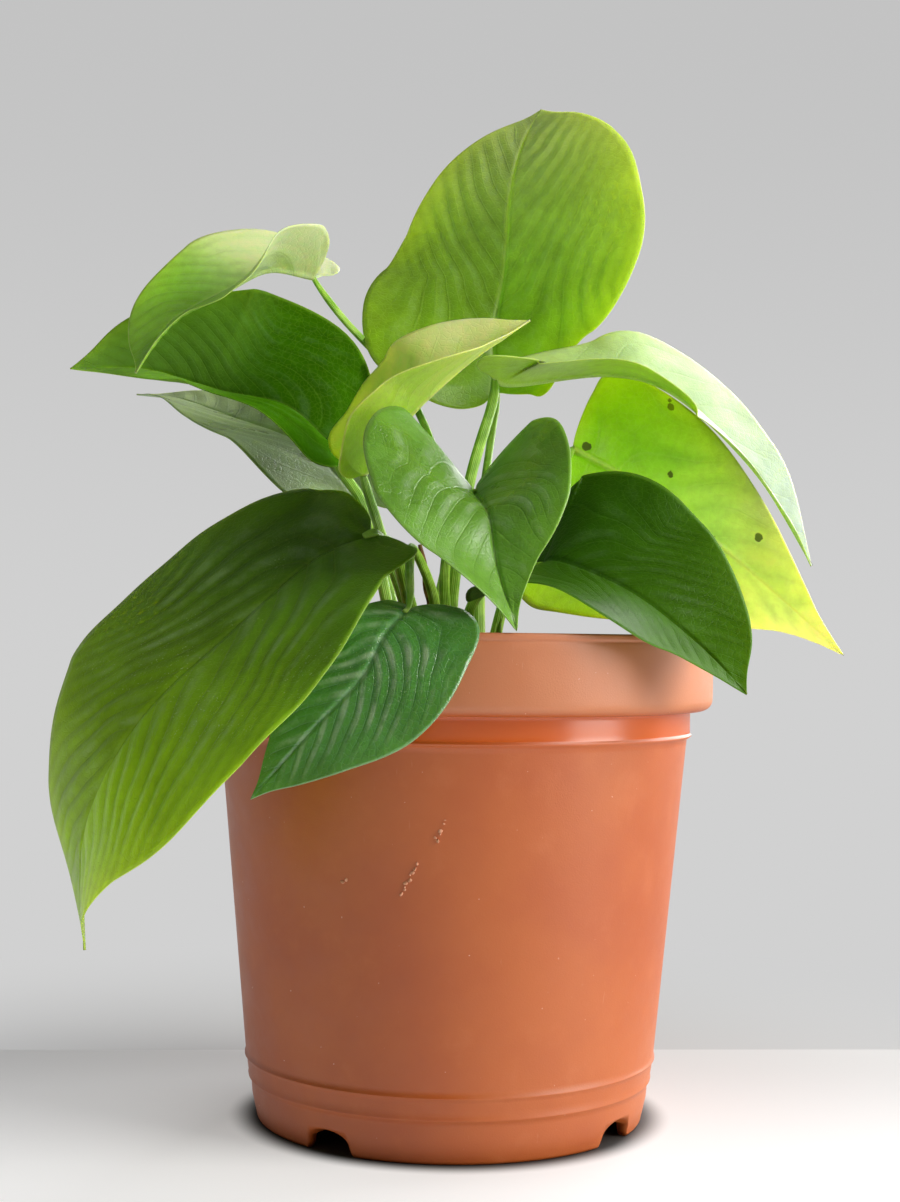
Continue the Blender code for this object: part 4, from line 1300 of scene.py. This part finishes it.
def make_specks():
    """Limescale specks in two short runs on the pot's front."""
    draw = np.random.default_rng(12)
    vertices, faces = [], []
    runs = [((-1.6, 76.0), (-3.6, 71.5), 6), ((-7.4, 66.5), (-11.0, 60.0), 9)]
    runs += [((-23.0, 62.5), (-23.6, 61.8), 2)]
    for (x0, z0), (x1, z1), count in runs:
        for share in np.linspace(0, 1, count):
            x = x0 + (x1 - x0) * share + draw.normal() * 0.25
            z = z0 + (z1 - z0) * share + draw.normal() * 0.25
            reach = body_radius(z)
            size = draw.uniform(0.28, 0.62)
            y = -math.sqrt(reach**2 - x**2)
            grain, sides = lump((x, y, z), (size, size * 0.45, size * 0.8), 40 + len(vertices), rough=0.15)
            faces += [[i + len(vertices) for i in face] for face in sides]
            vertices += grain.tolist()
    specks = weld(piece("limescale_specks", vertices, faces, lime_material()), 0.001)
    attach(specks, "root")


# ---------------------------------------------------------------- room
FAR_TONES = ("#d1d1d1", "#c3c3c3")  # the seamless background, low and high
FAR_HEIGHTS = (0.0, 1.0)  # metres
CARD_EDGE = 66.0  # where the white card ends behind the pot
CARD_TURN = 3.4  # how far that edge is turned, in degrees, so it looks level to the tilted camera
CARD_REACH = 2400.0  # how far the cards go to each side
CARD_LIT = -90.0  # how far in front the white card's own light is at its full strength
TOUCH_WIDTH = 8.0  # width of the darker ring round the pot's foot
FADE_WIDTH = 0.25  # metres over which a card fades into the far background
DOME_RADIUS = 2.3  # metres
LAMP_DISTANCE = 1600.0
AIM_HEIGHT = 120.0
CAMERA_DISTANCE = 0.45  # metres
CAMERA_LENS = 55.4
CAMERA_SHIFT = (-0.0042, 0.0258)
CAMERA_ROLL = 0.75  # degrees


def stage_floor(name, front, back, near_hex, fade_start, lift):
    """A flat sheet that fades into the background's tone. lift: how much light it gives off."""
    turn = CARD_REACH * math.tan(math.radians(CARD_TURN))
    ends = [(-CARD_REACH, front - turn, 0), (CARD_REACH, front + turn, 0)]
    ends += [(CARD_REACH, back + turn, 0), (-CARD_REACH, back - turn, 0)]
    made = piece(name, ends, [(0, 1, 2, 3)], None)
    material, shader = new_material(name + "_card", Roughness=0.7)
    spot = add(material, "TexCoord", give="Object")
    ahead = add(material, "SeparateXYZ", {0: spot}, "Y")
    full_light = (CARD_EDGE * MM, CARD_LIT * MM, 0.25 * lift, lift)
    own_light = add(material, "MapRange", (ahead, *full_light), **SMOOTH)
    shader.inputs["Emission Color"].default_value = linear("#f8f8f8")
    far = add(material, "Emission", {"Color": linear(FAR_TONES[0])})
    reach = add(material, "VectorMath", {0: spot}, "Value", operation="LENGTH")
    # The card is coloured darker beside the pot's foot, where little light gets in.
    touch = add(material, "MapRange", (reach, FOOT_RADIUS * MM, (FOOT_RADIUS + TOUCH_WIDTH) * MM), **SMOOTH)
    material.node_tree.links.new(
        add(material, "Mix", {0: touch, 6: linear("#3a3836"), 7: linear(near_hex)}, 2, **COLOUR),
        shader.inputs["Base Color"],
    )
    material.node_tree.links.new(
        add(material, "Math", (own_light, touch), **TIMES),
        shader.inputs["Emission Strength"],
    )
    fade = add(material, "MapRange", (reach, fade_start, fade_start + FADE_WIDTH), **SMOOTH)
    mixed = add(material, "MixShader", {0: fade, 1: shader.outputs[0], 2: far})
    material.node_tree.links.new(mixed, material.node_tree.nodes["Material Output"].inputs["Surface"])
    made.data.materials[0] = material


def make_room():
    """White card under the pot, grey card behind it, and a plain far background."""
    stage_floor("white_card", -CARD_REACH, CARD_EDGE, "#b6b6b6", 0.40, 0.60)
    stage_floor("grey_card", CARD_EDGE, CARD_REACH, "#b6b6b6", 0.0, 0.0)
    far = new_material("far_background")[0]
    height = add(far, "SeparateXYZ", {0: add(far, "TexCoord", give="Object")}, "Z")
    tone = add(far, "Mix", {
        0: add(far, "MapRange", (height, *FAR_HEIGHTS), **SMOOTH),
        6: linear(FAR_TONES[0]),
        7: linear(FAR_TONES[1]),
    }, 2, **COLOUR)
    glow = add(far, "Emission", {"Color": tone})
    far.node_tree.links.new(glow, far.node_tree.nodes["Material Output"].inputs["Surface"])
    work = bmesh.new()
    bmesh.ops.create_uvsphere(work, u_segments=48, v_segments=24, radius=DOME_RADIUS)
    mesh = bpy.data.meshes.new("far_background")
    work.to_mesh(mesh)
    work.free()
    mesh.materials.append(far)
    dome = bpy.data.objects.new("far_background", mesh)
    bpy.context.scene.collection.objects.link(dome)
    dome.visible_diffuse = dome.visible_glossy = dome.visible_transmission = dome.visible_shadow = False


def softbox(name, place_mm, aim_mm, size, power, colour="#ffffff"):
    """A rectangular studio light that faces a point. Its size is in metres and its power in watts."""
    lamp = bpy.data.lights.new(name, "AREA")
    lamp.shape = "RECTANGLE"
    lamp.size, lamp.size_y = size
    lamp.energy = power
    lamp.color = linear(colour)[:3]
    made = bpy.data.objects.new(name, lamp)
    bpy.context.scene.collection.objects.link(made)
    made.location = Vector(place_mm) * MM
    made.rotation_euler = (Vector(place_mm) - Vector(aim_mm)).to_track_quat("Z", "Y").to_euler()


def lamp_place(azimuth, elevation):
    """A place round the plant, in millimetres. Azimuth 0 is in front and 90 on the right."""
    a, e = math.radians(azimuth), math.radians(elevation)
    return (
        LAMP_DISTANCE * math.sin(a) * math.cos(e),
        -LAMP_DISTANCE * math.cos(a) * math.cos(e),
        POT_HEIGHT + LAMP_DISTANCE * math.sin(e),
    )


def make_light():
    """A tall window on the right, a bright sheet behind it and weak fill behind on the left."""
    middle = (0, 0, AIM_HEIGHT)
    softbox("window", lamp_place(70, 24), middle, (0.84, 1.62), 34.0, "#fffdf8")
    softbox("bright_sheet", lamp_place(138, 22), middle, (1.5, 1.2), 34.0)
    softbox("left_fill", lamp_place(-125, 15), middle, (0.8, 1.2), 1.4)
    world = bpy.data.worlds.new("even_room")
    world.use_nodes = True
    world.node_tree.nodes["Background"].inputs["Color"].default_value = linear("#f4f6f8")
    world.node_tree.nodes["Background"].inputs["Strength"].default_value = 0.10
    bpy.context.scene.world = world
    bpy.context.scene.view_settings.view_transform = "Standard"


def make_camera():
    """Eye level with the pot's rim, straight in front."""
    data = bpy.data.cameras.new("camera")
    data.lens = CAMERA_LENS
    data.shift_x, data.shift_y = CAMERA_SHIFT
    camera = bpy.data.objects.new("camera", data)
    bpy.context.scene.collection.objects.link(camera)
    camera.matrix_world = (
        Matrix.Translation((0, -CAMERA_DISTANCE, POT_HEIGHT * MM))
        @ Matrix.Rotation(math.radians(90), 4, "X")
        @ Matrix.Rotation(math.radians(CAMERA_ROLL), 4, "Z")
    )
    bpy.context.scene.camera = camera


def build():
    """Every visible piece, then the room, lights and camera."""
    make_pot()
    make_specks()
    make_mix()
    stalk_green, vine_skin = stalk_material(), vine_material()
    for name, route in VINES.items():
        make_vine(name, route, vine_skin)
    for number in STALKS:
        make_stalk(number, stalk_green)
    make_sheath(sheath_material())
    make_shoot(stalk_green)
    for number in BLADES:
        make_blade(number)
    make_room()
    make_light()
    make_camera()


build()
